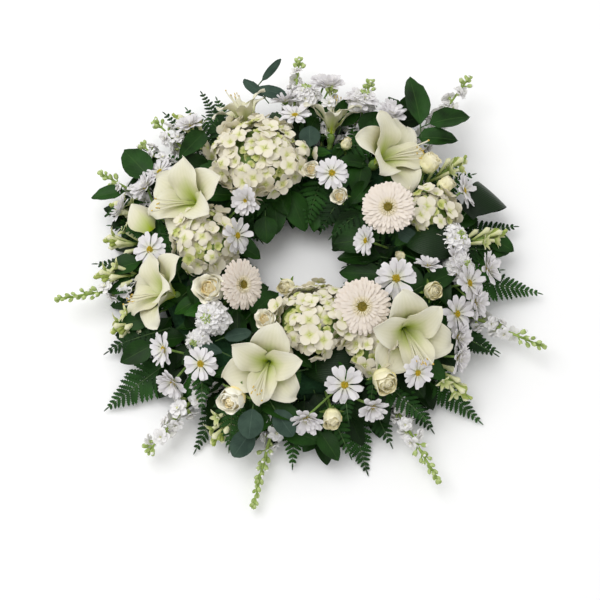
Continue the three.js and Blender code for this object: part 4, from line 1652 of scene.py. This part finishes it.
LOOSE_LEAVES = {
    "salal_loose": laid(
        Leaf.SALAL, ((156, 321, 55), (161, 368, 50), 28), ((158, 280, 62), (166, 332, 58), 20, 20),
        ((125, 280, 82), (140, 260, 100), 34, -15), ((264, 288, 58), (276, 306, 48), 34, 10),
        ((276, 291, 50), (280, 337, 40), 32), ((256, 258, 75), (271, 280, 72), 36, -10),
        ((181, 259, 60), (184, 316, 55), 42, 12), ((213, 276, 60), (212, 331, 50), 38, -12),
        ((9, 312, 48), (4, 352, 42), 32, 15), ((48, 296, 80), (39, 342, 78), 36),
        ((48, 326, 88), (42, 387, 84), 42, -4), ((50, 315, 88), (61, 388, 84), 44, 10),
        ((150, 287, 78), (146, 357, 72), 50, -10), ((189, 269, 52), (189, 320, 46), 36, 12),
        ((204, 259, 62), (201, 308, 52), 32, -18), ((316, 262, 72), (317, 306, 62), 32),
        ((342, 203, 92), (352, 252, 88), 36, 8), ((351, 212, 90), (338, 250, 82), 34, -10),
        ((328, 222, 84), (334, 262, 78), 34, 10), ((58, 240, 84), (64, 285, 84), 38, -8),
        ((88, 214, 84), (84, 262, 80), 36, 8), ((74, 256, 74), (73, 318, 76), 46, 6),
        ((83, 250, 76), (85, 304, 78), 40, -8), ((66, 252, 76), (62, 304, 78), 44, 10),
        ((78, 118, 66), (68, 62, 46), 34, -14), ((98, 122, 74), (82, 62, 42), 42, 20),
        ((36, 132, 76), (24, 60, 44), 56, -8), ((112, 112, 66), (126, 66, 46), 34, -16),
        ((200, 130, 66), (206, 70, 54), 36, -8), ((216, 128, 66), (222, 68, 54), 40, 8),
        ((232, 126, 66), (238, 66, 54), 38, -6), ((250, 124, 64), (254, 64, 52), 34, 6),
        ((0, 130, 70), (8, 62, 46), 42, 8), ((346, 136, 70), (346, 66, 44), 38, -10),
        ((20, 128, 66), (28, 60, 38), 44, 12), ((330, 138, 68), (322, 82, 58), 34, -8),
        ((12, 120, 80), (28, 62, 60), 46, -10), ((128, 92, 74), (150, 62, 56), 40, 8),
        ((58, 196, 80), (48, 140, 80), 40, 10), ((68, 190, 76), (60, 132, 78), 36, -14),
        ((166, 116, 72), (176, 64, 54), 38, -12),
    ),
    "eucalyptus_loose": laid(
        Leaf.EUCALYPTUS,
        ((101, 343, 78), (95, 380, 84), 14, 20), ((94, 296, 92), (103, 320, 92), 24, -10),
        ((102, 307, 86), (106, 352, 80), 22, 10), ((85, 188, 104), (86, 224, 110), 36),
        ((236, 213, 95), (224, 234, 96), 26, 20), ((232, 190, 90), (242, 160, 92), 28, -20),
        ((255, 275, 88), (256, 318, 76), 40, 5), ((256, 300, 64), (253, 344, 52), 36, -8),
        ((262, 268, 82), (268, 304, 74), 34, 20), ((14, 158, 96), (4, 188, 98), 26, 10),
    ),
    "aspidistra_loose": (
        *laid(Leaf.ASPIDISTRA, ((0, 252, 92), (10, 168, 88), 70, 6)),
        *laid(Leaf.ASPIDISTRA, ((298, 222, 76), (270, 186, 66), 62, -10)),
        *laid(Leaf.ROLLED_ASPIDISTRA, ((17, 286, 64), (20.5, 331, 18), 66)),
    ),
    "cream_petal_loose": laid(Leaf.CREAM_PETAL, ((171, 242, 88), (164, 282, 106), 50, 10)),
}


# ---------------------------------------------------------------- foliage that hides the foam


@dataclass(frozen=True)
class Row:
    """A ring of foliage: where its feet stand, how it lies and how long it is."""

    name: str
    count: int
    radius: tuple[float, float]
    height: tuple[float, float]
    pitch: tuple[float, float]
    length: tuple[float, float]
    scatter: float
    _: KW_ONLY
    slot: str = "leaf_green"
    nodes: tuple[str, ...] = ()

    def lay(self, bench: Bench, foot: Vector, clock: float, rng: random.Random) -> None:
        """Lays one leaf or frond from its foot."""
        raise NotImplementedError

    def build(self) -> None:
        """Makes the ring as one piece."""
        rng = random.Random(self.name)
        bench = Bench()
        for i in range(self.count):
            clock = 360 * (i + rng.uniform(0.1, 0.9)) / self.count
            foot = at(clock, rng.uniform(*self.radius), rng.uniform(*self.height))
            self.lay(bench, foot, clock, rng)
        bench.deliver(self.name, self.slot, *self.nodes)


@dataclass(frozen=True)
class LeafRow(Row):
    """A ring of single leaves, which point outward, or inward with a heading of 180."""

    heading: float
    skins: tuple[Skin, ...]
    leaf: Blade = SalalTwig.leaf
    shapes: tuple[tuple[float, float, float], ...] = (
        (-22, 35, 37), (-40, 20, 33), (-8, 50, 40), (-30, 60, 30),
    )

    def lay(self, bench: Bench, foot: Vector, clock: float, rng: random.Random) -> None:
        """Lays one leaf of one of the shapes, each a bend, a cup and a width.

        Args:
            bench: where the leaves are gathered.
            foot: where the leaf's foot goes.
            clock: the foot's clock angle.
            rng: the ring's own chance.
        """
        heading = clock + self.heading + rng.uniform(-self.scatter, self.scatter)
        place = lying(foot, heading, rng.uniform(*self.pitch), rng.uniform(-22, 22))
        size = Matrix.Scale(rng.uniform(*self.length) / self.leaf.length, 4)
        bend, cup, width = rng.choice(self.shapes)
        leaf = replace(self.leaf, bend=bend, cup=cup, width=width)
        bench.stamp(leaf.cut(rng.choice(self.skins)), place @ size)
        bench.rod([foot, place @ Vector((0, -10, -3))], [1.0, 1.0], Skin.DARK_STEM, 5)


@dataclass(frozen=True)
class FernRow(Row):
    """A ring of small fronds, which point outward."""

    size: tuple[float, float]
    frond: FernFrond = FernFrond(bare=0.16)
    slot: str = field(default="fern_green", kw_only=True)

    def lay(self, bench: Bench, foot: Vector, clock: float, rng: random.Random) -> None:
        """Lays one frond.

        Args:
            bench: where the fronds are gathered.
            foot: where the frond's foot goes.
            clock: the foot's clock angle.
            rng: the ring's own chance.
        """
        heading = clock + rng.uniform(-self.scatter, self.scatter)
        place = standing(foot, leaning(90 - rng.uniform(*self.pitch), heading))
        self.frond.dress(bench, place, rng.uniform(*self.length), rng.uniform(*self.size), rng)


# The two lowest rings take mostly the darker salal skin: painted shade under the rows above them.
DEEP = (Skin.SALAL_DEEP, Skin.SALAL_DEEP, Skin.SALAL)
MIXED = (Skin.SALAL, Skin.SALAL_DEEP, Skin.SALAL, Skin.SALAL_YOUNG)

OUTER, INNER = ("leaf_collar_outer",), ("leaf_collar_inner",)

ROWS = (
    # skirt_low and inner_low wear DEEP, painted shade under the rows above.
    LeafRow("skirt_low", 46, (236, 250), (20, 34), (-8, 2), (66, 82), 22, 0, DEEP, nodes=OUTER),
    LeafRow("skirt_middle", 46, (222, 244), (44, 60), (-12, 12), (58, 72), 35, 0, MIXED),
    LeafRow("leaves_over_foam", 90, (160, 226), (62, 84), (0, 34), (42, 58), 180, 0, MIXED),
    LeafRow("inner_low", 34, (142, 156), (28, 44), (-4, 16), (58, 74), 24, 180, DEEP, nodes=INNER),
    LeafRow("inner_middle", 38, (138, 162), (54, 70), (-24, 2), (56, 74), 30, 180, MIXED),
    FernRow("ferns_over_foam", 18, (165, 215), (66, 82), (-8, 8), (84, 116), 110, (54, 74)),
    FernRow("ferns_outer", 16, (222, 240), (44, 60), (-8, 8), (92, 118), 24, (60, 80)),
)


# ---------------------------------------------------------------- tray and foam


def dress_frame_parts() -> None:
    """Gives the tray and the foam ring, whose solids stay, their own finishes."""
    for node, skin in (("tray", Skin.TRAY), ("foam_ring", Skin.FOAM)):
        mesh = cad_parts[node].data
        mesh.materials.clear()
        mesh.materials.append(skin.value.material())
        log.info("%s: %s", node, skin.value.name)


# ---------------------------------------------------------------- studio


@dataclass(frozen=True)
class Studio:
    """A pale floor, soft light and the camera."""

    floor_size: float = 12.0
    floor_drop: float = 0.0005
    floor_white: str = "#ffffff"
    sky_strength: float = 0.72
    lamp_power: float = 32.0
    lamp_size: float = 2.2
    lamp_place: tuple[float, float, float] = (-0.9, 0.3, 2.4)
    aim: tuple[float, float, float] = (0.0, -0.0675, 0.05)
    reach: float = 1.9
    elevation: float = 65.0
    lens: float = 71.16

    def lay_floor(self) -> None:
        """Lays the floor just under the wreath."""
        bm = begun()
        bmesh.ops.create_grid(bm, x_segments=1, y_segments=1, size=self.floor_size / 2)
        bmesh.ops.translate(bm, vec=(0, 0, -self.floor_drop), verts=bm.verts)
        mesh = ended(bm, "floor")
        material = bpy.data.materials.new("floor_matt_white")
        material.use_nodes = True
        shader = material.node_tree.nodes["Principled BSDF"]
        shader.inputs["Base Color"].default_value = linear(self.floor_white)
        shader.inputs["Roughness"].default_value = 0.9
        shader.inputs["Specular IOR Level"].default_value = 0.0
        mesh.materials.append(material)
        floor = bpy.data.objects.new("floor", mesh)
        bpy.context.scene.collection.objects.link(floor)

    def light(self) -> None:
        """Sets an even sky and one large soft lamp."""
        scene = bpy.context.scene
        scene.view_settings.view_transform = "Standard"
        scene.world = bpy.data.worlds.new("studio")
        scene.world.use_nodes = True
        sky = scene.world.node_tree.nodes["Background"]
        sky.inputs["Color"].default_value = (1.0, 1.0, 1.0, 1.0)
        sky.inputs["Strength"].default_value = self.sky_strength
        lamp = bpy.data.lights.new("soft_lamp", "AREA")
        lamp.shape = "DISK"
        lamp.size = self.lamp_size
        lamp.energy = self.lamp_power
        holder = bpy.data.objects.new("soft_lamp", lamp)
        holder.location = self.lamp_place
        holder.rotation_euler = (-Vector(self.lamp_place)).to_track_quat("-Z", "Y").to_euler()
        scene.collection.objects.link(holder)

    def place_camera(self) -> None:
        """Places the camera above the front of the wreath."""
        camera = bpy.data.cameras.new("camera")
        camera.lens = self.lens
        holder = bpy.data.objects.new("camera", camera)
        angle = math.radians(self.elevation)
        offset = Vector((0, -math.cos(angle), math.sin(angle))) * self.reach
        holder.location = Vector(self.aim) + offset
        holder.rotation_euler = (-offset).to_track_quat("-Z", "Y").to_euler()
        bpy.context.scene.collection.objects.link(holder)
        bpy.context.scene.camera = holder

    def build(self) -> None:
        """Sets up the whole studio."""
        self.place_camera()
        self.lay_floor()
        self.light()


def main() -> None:
    """Builds the studio and every piece of the wreath."""
    logging.basicConfig(level=logging.INFO, format="%(message)s")
    Studio().build()
    dress_frame_parts()
    for node, stem in PLANTED.items():
        if isinstance(stem, Flower):
            stem.check(node)
        build_stems(f"{node}_dressed", (stem,), node)
    for row in ROWS:
        row.build()
    for name, stems in FILLS.items():
        build_stems(name, stems)
    for name, leaves in LOOSE_LEAVES.items():
        bench = Bench()
        for leaf in leaves:
            leaf.dress(bench)
        bench.deliver(name, "amaryllis_petals" if leaves[0].kind is Leaf.CREAM_PETAL else "leaf_green")


if __name__ == "__main__":
    main()
